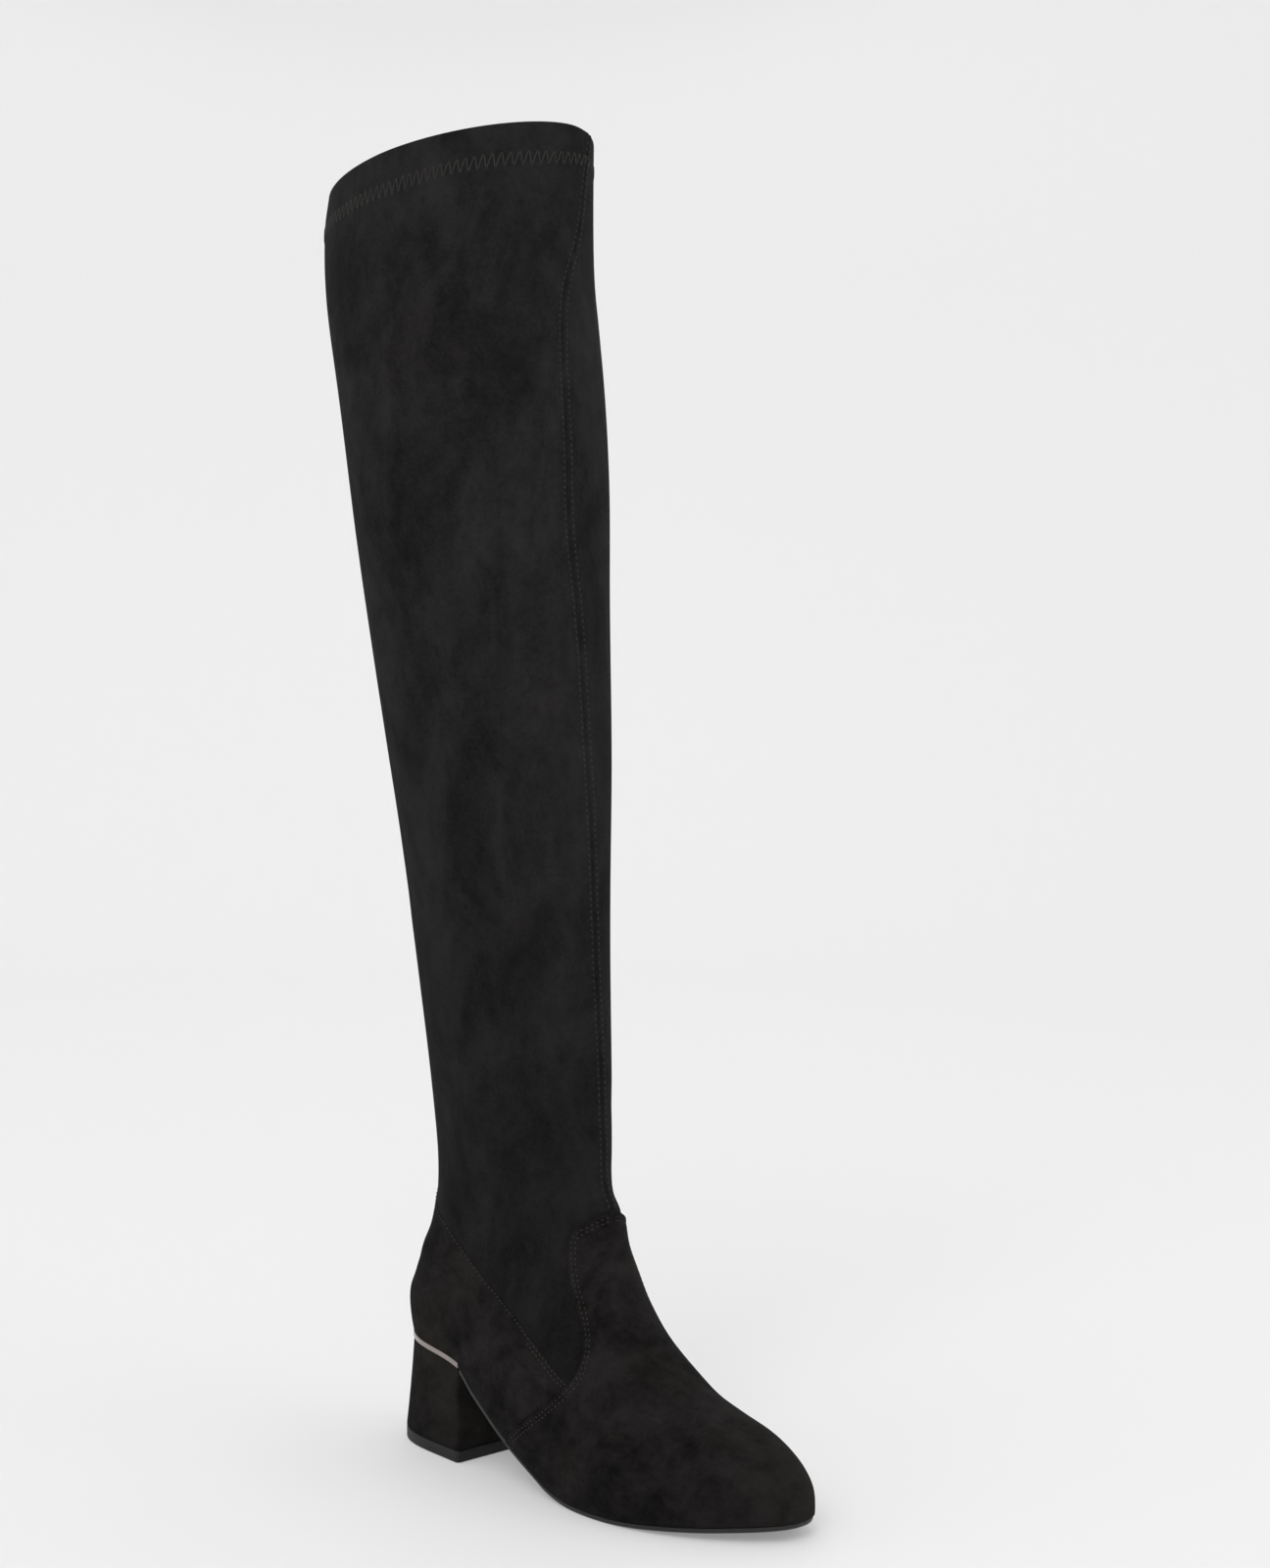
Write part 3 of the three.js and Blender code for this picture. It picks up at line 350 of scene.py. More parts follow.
def through(rows, pieces, first=0.0, last=1.0):
    """Points at even steps on a cubic through rows of values, or on a share of it."""
    at = (first + (last - first) * np.linspace(0, 1, pieces + 1)) * (len(rows) - 1)
    k = np.minimum(at.astype(int), len(rows) - 2)
    x = (at - k)[:, None]
    a, b, c, d = rows[np.maximum(k - 1, 0)], rows[k], rows[k + 1], rows[np.minimum(k + 2, len(rows) - 1)]
    return (b + 0.5 * x * (c - a) + x * x * (a - 2.5 * b + 2 * c - 0.5 * d)
            + x ** 3 * (1.5 * (b - c) + 0.5 * (d - a)))


# Front seam from the collar down to the vamp: section and turn in degrees
FRONT_SEAM = np.array([
    (11.0, 0), (11.9, -2), (14.6, -5.4), (16.5, -4.5), (17.8, -1.7), (18.7, 0.1), (19.5, 1.1), (20.1, 2),
    (20.8, 2.3), (21.5, 2.9), (21.9, 1.7), (22.4, -0.2), (23.3, 0.2), (23.7, -1.6), (24, -6.3), (24.4, -12),
    (25.1, -16), (26, -18.5),
])
SEAM_LINE = through(FRONT_SEAM, 300)


def seam_turn(t):
    """Turn of the front seam at a section."""
    return np.radians(np.interp(t, SEAM_LINE[:, 0], SEAM_LINE[:, 1]))


# Creases: width, depth (+ ridge, - trough) in mm, then section and turn in degrees of three points
CREASES = np.array([
    (9, -1.3, 23.7, 14.7, 22.4, 11, 21.4, 20), (13, 1.0, 23.7, 33, 22.4, 43, 21.3, 50),
    (6, -0.7, 21.3, 36, 21.1, 36.5, 20.9, 37), (6, -0.6, 20.8, 54, 20.65, 54, 20.5, 54.3),
    (8, -0.7, 24.4, 96, 23.8, 95, 23.1, 94), (6, -0.6, 24.8, 80, 24.6, 83, 24.4, 86),
    (5, 0.5, 23.7, -13.7, 22.9, -13, 22.1, -13.7), (14, -1.3, 18.4, 65, 17.9, 68, 17.4, 76),
    (11, -0.8, 18.5, 100, 18.3, 104, 18.1, 108), (4, 0.6, 17.0, 53, 16.7, 47, 16.4, 42.7),
    (4, 0.7, 16.4, 31, 15.9, 25, 15.4, 19), (10, -0.8, 19.6, 50, 19.5, 49, 19.3, 49),
    (7, -0.9, 16.0, 43, 15.2, 52, 14.8, 70), (9, -2.2, 12.1, 41, 11.7, 54, 11.6, 74),
    (6, 0.8, 12.9, 38, 12.5, 55, 12.4, 76), (4, -0.6, 15.9, 28, 15.6, 25, 15.3, 23),
    (8, -0.9, 15.8, 91, 15.4, 99, 15.1, 107), (9, -1.1, 14.9, 82, 14.4, 83, 13.9, 84),
    (7, 0.7, 14.6, 64, 14.1, 62, 13.5, 60), (8, -1.0, 13.3, 140, 13.6, 160, 13.6, 178),
    (7, 0.6, 14.2, 135, 14.5, 155, 14.6, 176), (8, -1.2, 12.1, -41, 11.6, -52, 11.7, -66),
    (6, 0.7, 12.9, -38, 12.5, -50, 12.4, -62), (7, -0.8, 16.1, -40, 15.3, -50, 14.9, -62),
    (9, -0.9, 15.6, -110, 15.0, -122, 14.4, -136), (10, -0.8, 17.6, -118, 17.0, -130, 16.5, -138),
    (12, 0.9, 23.6, -52, 22.4, -60, 21.2, -64), (11, -1.0, 22.9, -96, 22.0, -104, 21.1, -108),
    (12, -0.9, 22.6, 150, 21.6, 158, 20.7, 164), (10, 0.8, 20.9, -150, 20.1, -158, 19.4, -166),
    (9, -0.8, 24.9, -130, 24.1, -138, 23.3, -140), (9, -0.7, 20.2, 120, 19.4, 128, 18.7, 132),
    (9, -0.7, 3.7, 47, 3.2, 42, 2.7, 36), (8, -0.6, 8.3, 22, 7.9, 21, 7.4, 21),
    (10, -0.7, 6.3, 62, 5.7, 40, 5.5, 15), (10, -0.6, 6.2, -60, 5.6, -38, 5.5, -12),
])
SEAM_DEPTH, SEAM_HALF, PIPING, WAVE = 0.75, 0.7, 0.35, 0.38


def distance_to(points, line):
    """Shortest distance in mm from each point to a line of points, taken piece by piece."""
    near = np.full(points.shape[:-1], np.inf)
    for a, b in zip(line[:-1], line[1:]):
        s = np.clip(((points - a) @ (b - a)) / max((b - a) @ (b - a), 1e-9), 0, 1)
        near = np.minimum(near, np.linalg.norm(points - a - s[..., None] * (b - a), axis=-1))
    return near


def relief(t, phi):
    """Height of the stretch suede over the form, in mm: each crease adds its depth times a bell
    of the distance to its line, the front seam is a narrow valley between two low ridges, and
    broad slow waves keep the shaft from being perfect."""
    t, phi = np.broadcast_arrays(np.asarray(t, float), np.asarray(phi, float))
    point = form(t, phi)
    height = np.zeros(t.shape)
    for width, depth, *line in CREASES:
        near = distance_to(point, form(np.array(line[0::2]), np.radians(line[1::2])))
        height += depth * np.exp(-(near / width) ** 2)
    on_leg = np.clip((t - 11.3) / 0.6, 0, 1)
    from_seam = np.abs(phi - seam_turn(t)) * mm_per_turn(t, seam_turn(t))
    height += on_leg * (PIPING * np.exp(-((from_seam - 1.9) / 1.3) ** 2)
                        - SEAM_DEPTH * np.exp(-(from_seam / SEAM_HALF) ** 2))
    calm = np.clip((t - 13) / 3, 0, 1) * np.clip((26 - t) / 1.2, 0, 1)
    wave = (np.sin(0.021 * point[..., 2] + 2.1 * phi + 0.4) + 0.8 * np.sin(0.034 * point[..., 2] - 3 * phi + 1.9)
            + 0.5 * np.sin(0.05 * point[..., 2] + 5 * phi))
    return height + WAVE * calm * wave


def skin(t, phi, lift):
    """The form with its relief, moved out by lift mm along its normal."""
    t, phi = np.broadcast_arrays(np.asarray(t, float), np.asarray(phi, float))
    return form(t, phi) + (relief(t, phi) + lift)[..., None] * outward(t, phi)


def smooth_line(table, pieces, first=0.0, last=1.0):
    """Side view points, mm, of a table of shares of the foot length, heel height and instep height."""
    at, lift, rise = table.T
    rows = np.stack([at * FOOT_LENGTH, BASE + lift * HEEL_HEIGHT + rise * INSTEP_HEIGHT], -1)
    return through(rows, pieces, first, last)


def on_form(line, low_t, high_t):
    """Section and turn (0 to pi) of side view points: the nearest of a net, then Newton steps."""
    net_t, net_phi = np.meshgrid(np.linspace(low_t, high_t, 260), np.linspace(0.001, 3.14, 220), indexing="ij")
    u, z = side_view(form(net_t, net_phi))
    flat_u, flat_z = u.ravel(), z.ravel()
    nearest = np.array([np.argmin((flat_u - a) ** 2 + (flat_z - b) ** 2) for a, b in line])
    t, phi = net_t.ravel()[nearest], net_phi.ravel()[nearest]
    step = 1e-3
    for _ in range(6):
        u, z = side_view(form(t, phi))
        ut, zt = side_view(form(t + step, phi))
        up, zp = side_view(form(t, phi + step))
        a, b, c, d = (ut - u) / step, (up - u) / step, (zt - z) / step, (zp - z) / step
        miss_u, miss_z = line[:, 0] - u, line[:, 1] - z
        size = a * d - b * c
        size = np.where(np.abs(size) < 1, np.inf, size)
        t = t + np.clip((d * miss_u - b * miss_z) / size, -0.1, 0.1)
        phi = np.clip(phi + np.clip((a * miss_z - c * miss_u) / size, -0.06, 0.06), 0, math.pi)
    return t, phi


# Zip's line, from above the sole up the inner side: at, lift, rise (of the instep height)
ZIP_LINE = np.array([
    (0.3891, 0.58, 0.191), (0.3798, 0.75, 0.344), (0.3657, 0.8, 0.457),
    (0.3669, 0.84, 0.585), (0.3762, 0.89, 0.788), (0.3633, 0.95, 0.92),
    (0.3435, 0.99, 1.051), (0.3306, 1, 1.261), (0.3274, 1, 1.499),
    (0.3355, 1, 1.701), (0.3319, 1, 1.887), (0.3181, 1, 2.135),
    (0.3032, 1, 2.344), (0.2968, 1, 2.653), (0.2964, 1, 3.111),
    (0.2964, 1, 3.297),
])
SLOT_FROM, SLOT_TO, SLOT_HALF = 0.045, 0.945, 3.2
zip_t, zip_phi = on_form(smooth_line(ZIP_LINE, 120), 9.4, 20)
zip_t = np.maximum.accumulate(zip_t)
ZIP_T = np.concatenate([[0, 7], zip_t, [21, 26]])
ZIP_PHI = np.concatenate([[1.15, 1.3], zip_phi, [zip_phi[-1], zip_phi[-1]]])


def zip_turn(t):
    """Turn of the zip's middle at a section, on the inner side."""
    return -np.interp(t, ZIP_T, ZIP_PHI)


# Turns all round a section, close together where its shape changes at the sides
ROUND = np.unique(np.concatenate([
    np.linspace(-math.pi, math.pi, 721),
    *(side * (math.pi / 2 + step * np.geomspace(1e-5, 0.06, 40)) for side in (-1, 1) for step in (-1, 1)),
]))


def beside_zip(t, mm):
    """Turns that lie mm to the side of the zip's middle, measured along each section."""
    lines = form(t[:, None], ROUND)
    gone = np.pad(np.cumsum(np.linalg.norm(np.diff(lines, axis=1), axis=-1), axis=1), ((0, 0), (1, 0)))
    mm = np.broadcast_to(mm, (len(t), np.shape(mm)[-1] if np.ndim(mm) else 1))
    return np.stack([np.interp(np.interp(p, ROUND, g) + d, g, ROUND) for p, g, d in zip(zip_turn(t), gone, mm)])


def rows_between(t0, t1, step):
    """Sections about step mm apart along the outer side."""
    fine = np.linspace(t0, t1, 1500)
    gone = along(form(fine, math.pi / 2))
    return np.interp(np.linspace(0, gone[-1], math.ceil(gone[-1] / step) + 1), gone, fine)


SEAT = seat_row()


def low_edge(t, side):
    """Turn of the skin's low edge: the sole line on the foot, the back line up the leg."""
    return np.where(t < SEAT, low_turn(np.minimum(t, SEAT), side), math.pi)


slot_ends = on_form(smooth_line(ZIP_LINE, 1, SLOT_FROM, SLOT_TO), 8, 20)[0]
upper_rows = np.unique(np.concatenate([
    SEAT * np.sin(np.linspace(0, math.pi / 2, 84)), rows_between(SEAT, COLLAR, 2.8), slot_ends,
    COLLAR - np.array([0.012, 0.028, 0.05]),
]))
# Columns beside the zip's middle and the front seam, in mm, and how many lie between them
ZIP_COLUMNS = np.array([-9, -7, -5.6, -4.6, -3.9, -3.5, -SLOT_HALF, 0, SLOT_HALF, 3.5, 3.9, 4.6, 5.6, 7, 9])
SEAM_SIDE = np.array([0.35, 0.7, 1.1, 1.7, 2.4, 3.2, 4.4, 6])
SEAM_COLUMNS = np.concatenate([-SEAM_SIDE[::-1], [0], SEAM_SIDE])
BACK_COLUMNS, INSIDE_COLUMNS, OUTSIDE_COLUMNS = 38, 32, 74


def upper_turns(t):
    """Turns of all columns at each section: from the low edge inside, over the zip and the front
    seam, to the low edge outside, evenly spaced between those two sets of close columns."""
    t = np.asarray(t)[:, None]
    low_in, low_out = low_edge(t, -1), low_edge(t, 1)
    zips = beside_zip(t[:, 0], ZIP_COLUMNS)
    seams = seam_turn(t) + SEAM_COLUMNS / mm_per_turn(t, seam_turn(t))
    between = lambda a, b, n: a + (b - a) * np.linspace(0, 1, n + 1)[None, 1:-1]
    return np.hstack([
        -low_in, between(-low_in, zips[:, :1], BACK_COLUMNS),
        zips, between(zips[:, -1:], seams[:, :1], INSIDE_COLUMNS),
        seams, between(seams[:, -1:], low_out, OUTSIDE_COLUMNS), low_out,
    ])


def shell(top, under, quads):
    """Closed sheet: the top net, the under net turned over, and a rim along every open edge.
    Returns points, faces and the kind of each face: 0 top, 1 under, 2 rim."""
    first, faces, _ = weld(top, quads)
    both = np.vstack([top[first], under[first]])
    starts = np.concatenate([np.array(face) for face in faces])
    ends = np.concatenate([np.roll(np.array(face), -1) for face in faces])
    count = len(both) // 2
    key, back = starts.astype(np.int64) * count + ends, ends.astype(np.int64) * count + starts
    open_edge = ~np.isin(key, back)
    rim = np.stack([ends[open_edge], starts[open_edge], starts[open_edge] + count, ends[open_edge] + count], -1)
    under_faces = [[v + count for v in reversed(face)] for face in faces]
    kinds = [0] * len(faces) + [1] * len(faces) + [2] * len(rim)
    return both, faces + under_faces + rim.tolist(), kinds


def panel(nets):
    """Closed sheet from nets of top points and under points, each with the side it lies on,
    which says which way it faces."""
    quads, count = [], 0
    for side, top, _ in nets:
        net = grid_faces(*top.shape[:2]) + count
        quads.append(net[:, ::-1] if side > 0 else net)
        count += top.shape[0] * top.shape[1]
    top, under = (np.vstack([net[k].reshape(-1, 3) for net in nets]) for k in (1, 2))
    return shell(top, under, np.vstack(quads))


def suede(name, deep, raised, cool, warm, mottling, stretch):
    """Napped suede: brushed fibres lie in clouds and upright strokes of lighter and darker black,
    a little plum or olive in places, made darker towards the foot by height, with a soft sheen at
    grazing angles. Mottling is the strength of clouds and strokes, stretch under 1 makes them taller.
    The nap's own fibres are too fine to show and are drawn as grains of 1.8 mm."""
    material, tree, place = new_material(name)
    tall = add(tree, "Mapping", {"Vector": place, "Scale": (1, 1, stretch)}).outputs["Vector"]
    clouds = add(tree, "TexNoise", {"Vector": tall, "Scale": 1 / 0.036, "Detail": 7, "Roughness": 0.66,
                                    "Distortion": 0.5})
    strokes = add(tree, "TexNoise", {"Vector": tall, "Scale": 1 / 0.007, "Detail": 4, "Roughness": 0.65})
    nap = add(tree, "TexNoise", {"Vector": place, "Scale": 1 / 0.0018, "Detail": 4, "Roughness": 0.8})
    hues = add(tree, "TexNoise", {"Vector": place, "Scale": 1 / 0.045, "Detail": 3, "Roughness": 0.5})
    cloud = add(tree, "MapRange", {"Value": clouds.outputs["Fac"], "From Min": 0.38, "From Max": 0.62,
                                   "To Min": 0.33 - 0.33 * mottling, "To Max": 0.33 + 0.3 * mottling})
    stroke = add(tree, "MapRange", {"Value": strokes.outputs["Fac"], "From Min": 0.34, "From Max": 0.66,
                                    "To Min": 0.12 - 0.14 * mottling, "To Max": 0.12 + 0.16 * mottling})
    grain = add(tree, "MapRange", {"Value": nap.outputs["Fac"], "From Min": 0.32, "From Max": 0.68,
                                   "To Max": 0.38})
    broad = add(tree, "Math", {0: cloud.outputs["Result"], 1: stroke.outputs["Result"]}, operation="ADD")
    height = add(tree, "Math", {0: broad.outputs[0], 1: grain.outputs["Result"]}, operation="ADD")
    level = add(tree, "SeparateXYZ", {"Vector": place}).outputs["Z"]
    # The tone is made darker towards the foot by height: full above 0.42 m, down to 0.62 of it at 0.02 m.
    darker_low = add(tree, "MapRange", {"Value": level, "From Min": 0.02, "From Max": 0.42, "To Min": 0.62})
    height = add(tree, "Math", {0: height.outputs[0], 1: darker_low.outputs["Result"]}, operation="MULTIPLY")
    grey = add(tree, "Mix", {0: height.outputs[0], 6: linear(deep), 7: linear(raised)}, data_type="RGBA")
    hue = add(tree, "ValToRGB", {"Fac": hues.outputs["Fac"]})
    hue.color_ramp.elements[0].position, hue.color_ramp.elements[0].color = 0.38, linear(cool)
    hue.color_ramp.elements[1].position, hue.color_ramp.elements[1].color = 0.62, linear(warm)
    colour = add(tree, "Mix", {0: 1.0, 6: grey.outputs[2], 7: hue.outputs["Color"]}, data_type="RGBA",
                 blend_type="MULTIPLY")
    relief_map = add(tree, "Math", {0: strokes.outputs["Fac"], 1: 0.7, 2: nap.outputs["Fac"]},
                     operation="MULTIPLY_ADD")
    bump = add(tree, "Bump", {"Height": relief_map.outputs[0], "Strength": 0.55, "Distance": 0.0007})
    return finish_material(material, tree, {
        "Base Color": colour.outputs[2], "Roughness": 0.95, "Specular IOR Level": 0.05,
        "Sheen Weight": 0.02, "Sheen Roughness": 0.5, "Sheen Tint": linear("#8f8b8c"),
        "Normal": bump.outputs["Normal"],
    })


def finish_patterned(material, tree, pattern, tones, inputs, bump=None, gloss=None):
    """Surface whose colour goes from one tone to the other with a pattern, whose roughness goes
    over the range of gloss with it, and which rises with it by the bump's strength and height in m."""
    tone = add(tree, "Mix", {0: pattern, 6: linear(tones[0]), 7: linear(tones[1])}, data_type="RGBA")
    inputs = {"Base Color": tone.outputs[2], **inputs}
    if bump:
        raised = add(tree, "Bump", {"Height": pattern, "Strength": bump[0], "Distance": bump[1]})
        inputs["Normal"] = raised.outputs["Normal"]
    if gloss:
        rough = add(tree, "MapRange", {"Value": pattern, "To Min": gloss[0], "To Max": gloss[1]})
        inputs["Roughness"] = rough.outputs["Result"]
    finish_material(material, tree, inputs)


shaft_suede = suede("napped stretch suede", "#0b0b0b", "#282828", "#eff3f0", "#f9f2f4", 0.85, 0.6)
lining, tree, place = new_material("knitted textile lining")
loops = add(tree, "TexWave", {"Vector": place, "Scale": 1 / 0.0052, "Distortion": 1.5, "Detail": 2},
            bands_direction="Z")
finish_patterned(lining, tree, loops.outputs["Fac"], ("#1b1a1a", "#2b2a29"),
                 {"Roughness": 0.9, "Sheen Weight": 0.1}, bump=(0.4, 0.0004))

# Height in mm between the last two sections, and of the rounded top edge
COLLAR_SECTION, COLLAR_ROUND = 18, 0.9
turns = upper_turns(upper_rows)
t_net = np.repeat(upper_rows[:, None], turns.shape[1], 1)
to_collar = (COLLAR - t_net) * COLLAR_SECTION
fold = np.clip(1 - to_collar / COLLAR_ROUND, 0, 1)
round_off = WALL / 2 * (1 - np.sqrt(1 - fold ** 2))
outer_net, inner_net = skin(t_net, turns, -round_off), skin(t_net, turns, -WALL + round_off)
quads = grid_faces(*turns.shape)
columns = turns.shape[1] - 1
row_of, column_of = np.arange(len(quads)) // columns, np.arange(len(quads)) % columns
slot_column = BACK_COLUMNS + int(np.argmax(ZIP_COLUMNS == -SLOT_HALF))
middle_t = (upper_rows[row_of] + upper_rows[row_of + 1]) / 2
in_slot = ((column_of >= slot_column) & (column_of < slot_column + 2)
           & (middle_t > slot_ends.min()) & (middle_t < slot_ends.max()))
points, faces, kinds = shell(outer_net.reshape(-1, 3), inner_net.reshape(-1, 3), quads[~in_slot][:, ::-1])
add_piece("upper", points, faces, [shaft_suede, lining], "boot", "suede", ["upper_shell"],
          np.array(kinds) == 1)


# Collar facing: the same suede turned in over the top edge and lying against the lining,
# held by the zigzag stitch that shows outside.
FACING, FACING_DEPTH = 0.9, 21.0
INSIDE = -WALL - GAP
facing_rows = COLLAR - FACING_DEPTH / (ROWS[-1, 1] - ROWS[-2, 1]) * np.linspace(1, 0, 13)
facing_t, facing_phi = np.meshgrid(facing_rows, np.linspace(-math.pi, math.pi, 181), indexing="ij")
thin = 0.4 * FACING * (1 - np.sqrt(1 - np.linspace(-1, 1, 13) ** 6))[:, None]
points, faces, _ = panel([(1, skin(facing_t, facing_phi, INSIDE - thin),
                           skin(facing_t, facing_phi, INSIDE - FACING + thin))])
add_piece("facing", points, faces, [shaft_suede], "boot", "suede", ["collar_facing"])


# Stitching on the shaft: two rows beside the front seam and a zigzag that holds the collar
# fold, sewn with grey polyester thread. Each stitch is a short tube lying on the suede.
thread, tree, place = new_material("twisted polyester thread")
twist = add(tree, "TexWave", {"Vector": place, "Scale": 1 / 0.0016, "Distortion": 1}, bands_direction="DIAGONAL")
finish_patterned(thread, tree, twist.outputs["Fac"], ("#201f1e", "#363432"),
                 {"Roughness": 0.75, "Specular IOR Level": 0.25}, bump=(0.3, 0.0002))
# Thread's radius, and a stitch's share of its pitch
THREAD, STITCH = 0.3, 0.5


def threads(t0, phi0, t1, phi1, lift, radius=THREAD):
    """Stitches or coil turns between pairs of places on the skin. The middle line of each goes
    straight from one place to the other at lift above the skin, sinks by its radius at both ends,
    and carries a ring that narrows there too."""
    s = np.linspace(0, 1, 6)
    bow = np.sqrt(1 - (2 * s - 1) ** 4 * 0.98)
    t = t0[:, None] + (t1 - t0)[:, None] * s
    phi = phi0[:, None] + (phi1 - phi0)[:, None] * s
    centre = skin(t, phi, lift + radius * (1.3 * bow - 1.1))
    run = centre[:, -1:] - centre[:, :1]
    run = run / np.linalg.norm(run, axis=-1, keepdims=True)
    side = np.cross(run, outward(t, phi))
    side = side / np.linalg.norm(side, axis=-1, keepdims=True)
    up = np.cross(side, run)
    turn = np.arange(6) * math.pi / 3
    ring = (np.cos(turn)[:, None] * side[:, :, None] + np.sin(turn)[:, None] * up[:, :, None])
    points = centre[:, :, None] + radius * bow[:, None, None] * ring
    tube = grid_faces(6, 6, True)[:, ::-1]
    count = len(t0)
    start = (np.arange(count) * 36)[:, None, None]
    sides = (tube[None] + start).reshape(-1, 4).tolist()
    caps = np.stack([np.arange(6), np.arange(35, 29, -1)])
    return points.reshape(-1, 3), sides + (caps[None] + start).reshape(-1, 6).tolist()


def row_of_stitches(t, phi, pitch, lift=0.0):
    """Stitches along a line of places on the skin."""
    line = form(t, phi)
    gone = along(line)
    start = np.arange(0.5 * pitch, gone[-1] - pitch, pitch)
    end = start + STITCH * pitch
    return threads(np.interp(start, gone, t), np.interp(start, gone, phi),
                   np.interp(end, gone, t), np.interp(end, gone, phi), lift)


def joined(parts):
    """Points and faces of one mesh from those of several."""
    points, faces, count = [], [], 0
    for some_points, some_faces in parts:
        points.append(some_points)
        faces += [[v + count for v in face] for face in some_faces]
        count += len(some_points)
    return np.vstack(points), faces


SEAM_ROW, SEAM_PITCH = 2.2, 2.9
seam_t = np.linspace(11.75, COLLAR - 0.1, 700)
seam_parts = []
for side in (-1, 1):
    narrow = np.interp(seam_t, [24.2, 25.2], [1, 0.75])
    shift = side * SEAM_ROW * narrow / mm_per_turn(seam_t, seam_turn(seam_t))
    seam_parts.append(row_of_stitches(seam_t, seam_turn(seam_t) + shift, SEAM_PITCH))
ZIGZAG_PITCH, ZIGZAG_HALF = 4.1, 0.15
# Turn in degrees and section of the zigzag's middle line
ZIGZAG_LINE = np.array([(-180, 25.05), (-120, 25.12), (-75, 25.3), (-40, 25.3), (-16, 25.24), (0, 25.14),
                        (17, 25.08), (38, 25.05), (78, 25.0), (130, 25.0), (180, 25.05)])
round_phi = np.linspace(-math.pi, math.pi, 720)
round_t = np.interp(np.degrees(round_phi), ZIGZAG_LINE[:, 0], ZIGZAG_LINE[:, 1])
gone = along(form(round_t, round_phi))
corners = np.linspace(0, gone[-1], 2 * round(gone[-1] / ZIGZAG_PITCH) + 1)
corner_phi = np.interp(corners, gone, round_phi)
corner_t = np.interp(corners, gone, round_t) + ZIGZAG_HALF * np.where(np.arange(len(corners)) % 2, 1, -1)
seam_parts.append(threads(corner_t[:-1], corner_phi[:-1], corner_t[1:], corner_phi[1:], 0.0))
add_piece("shaft_stitches", *joined(seam_parts), [thread], "boot", None)


# Vamp: suede panel laid over the forefoot, its edge folded under and held by two rows of
# stitches; it rises to a rounded tongue in front of the ankle.

# Thickness, how far the fold is rounded, and the thickness right at its edge
OVERLAY, FOLD, FOLD_EDGE = 1.3, 0.8, 0.3
# Edge in side view: at (of the foot length), lift (of the heel height), rise (of the instep height)
VAMP_EDGE = np.array([
    (0.6371, 0.86, 1.331), (0.5565, 0.81, 1.133), (0.5335, 0.78, 1.079),
    (0.5202, 0.78, 1.041), (0.5081, 0.78, 1.007), (0.5008, 0.77, 0.965),
    (0.5024, 0.71, 0.929), (0.5145, 0.57, 0.895), (0.5306, 0.44, 0.868),
    (0.5476, 0.35, 0.82), (0.5621, 0.27, 0.784), (0.575, 0.22, 0.724),
    (0.5802, 0.18, 0.663), (0.5778, 0.17, 0.604), (0.5669, 0.18, 0.54),
    (0.5504, 0.19, 0.476), (0.5109, 0.24, 0.335), (0.4613, 0.33, 0.164),
    (0.4181, 0.39, 0.016), (0.3911, 0.41, -0.109),
])


def vamp_lift(from_edge):
    """Height of the vamp's face over the form: rounded over the fold at its edge, a little
    puffed inside it, and drawn down along each row of stitches."""
    rounded = np.sqrt(np.clip(1 - (1 - np.clip(from_edge / FOLD, 0, 1)) ** 2, 0, 1))
    drawn = sum(0.22 * np.exp(-((from_edge - row) / 0.55) ** 2) for row in VAMP_STITCHES)
    puff = 0.22 * np.exp(-((from_edge - 0.9) / 0.8) ** 2)
    return GAP + FOLD_EDGE + (OVERLAY - FOLD_EDGE + puff) * rounded - drawn


# The edge on the form, without what the side view's line has beyond the form or the sole line
edge_line = smooth_line(VAMP_EDGE, 240)
edge_t, edge_phi = on_form(edge_line, 6.5, 13)
low_at_edge = low_turn(edge_t, 1)
off = np.linalg.norm(np.stack(side_view(form(edge_t, edge_phi)), -1) - edge_line, axis=1)
keep = (off < 0.05) & (edge_phi < low_at_edge)
edge_t, edge_phi, low_at_edge = edge_t[keep], edge_phi[keep], low_at_edge[keep]
# Its narrowest place, and the shoulder of the tongue above it
waist, shoulder = int(np.argmin(edge_t)), int(np.argmin(np.abs(edge_t - 11.24)))
WAIST_T, WAIST_PHI = edge_t[waist], edge_phi[waist]
VAMP_ROWS_MM = np.array([0, 0.12, 0.3, 0.55, 0.9, 1.3, 1.8, 2.3, 2.9, 3.5, 4.1, 4.7, 5.6])
VAMP_STITCHES, PANEL_PITCH = (1.9, 4.0), 2.5
TONGUE_HALF, TONGUE_HEIGHT, FORE_LENGTH = 45.0, 105.0, 190


def fine_end(count, length):
    """Shares from 0 to 1: even at first, then at the millimetre steps of the panel's edge."""
    near = 1 - VAMP_ROWS_MM[::-1] / length
    return np.concatenate([np.linspace(0, near[0], count)[:-1], near])


# Two nets that share their row at the waist: the tongue above it and the forefoot before it
tongue_q, tongue_r = fine_end(26, TONGUE_HALF), fine_end(40, TONGUE_HEIGHT)
top_t, top_phi = edge_t[:shoulder + 1], edge_phi[:shoulder + 1]
top_t, top_phi = top_t[np.argsort(top_phi)], np.sort(top_phi)
side_t, side_phi = edge_t[shoulder:waist + 1], edge_phi[shoulder:waist + 1]
side_t, side_phi = np.sort(side_t), side_phi[np.argsort(side_t)]
reach_t = np.interp(tongue_q * side_phi[-1], top_phi, top_t)
tongue_t = WAIST_T + tongue_r[:, None] * (reach_t - WAIST_T)
tongue_phi = tongue_q * np.interp(tongue_t, side_t, side_phi)
waist_q = WAIST_PHI / float(low_turn(np.array(WAIST_T), 1))
fore_q = np.concatenate([tongue_q * waist_q, np.linspace(waist_q, 1, 46)[1:]])
edge_share = edge_phi[waist:] / low_at_edge[waist:]
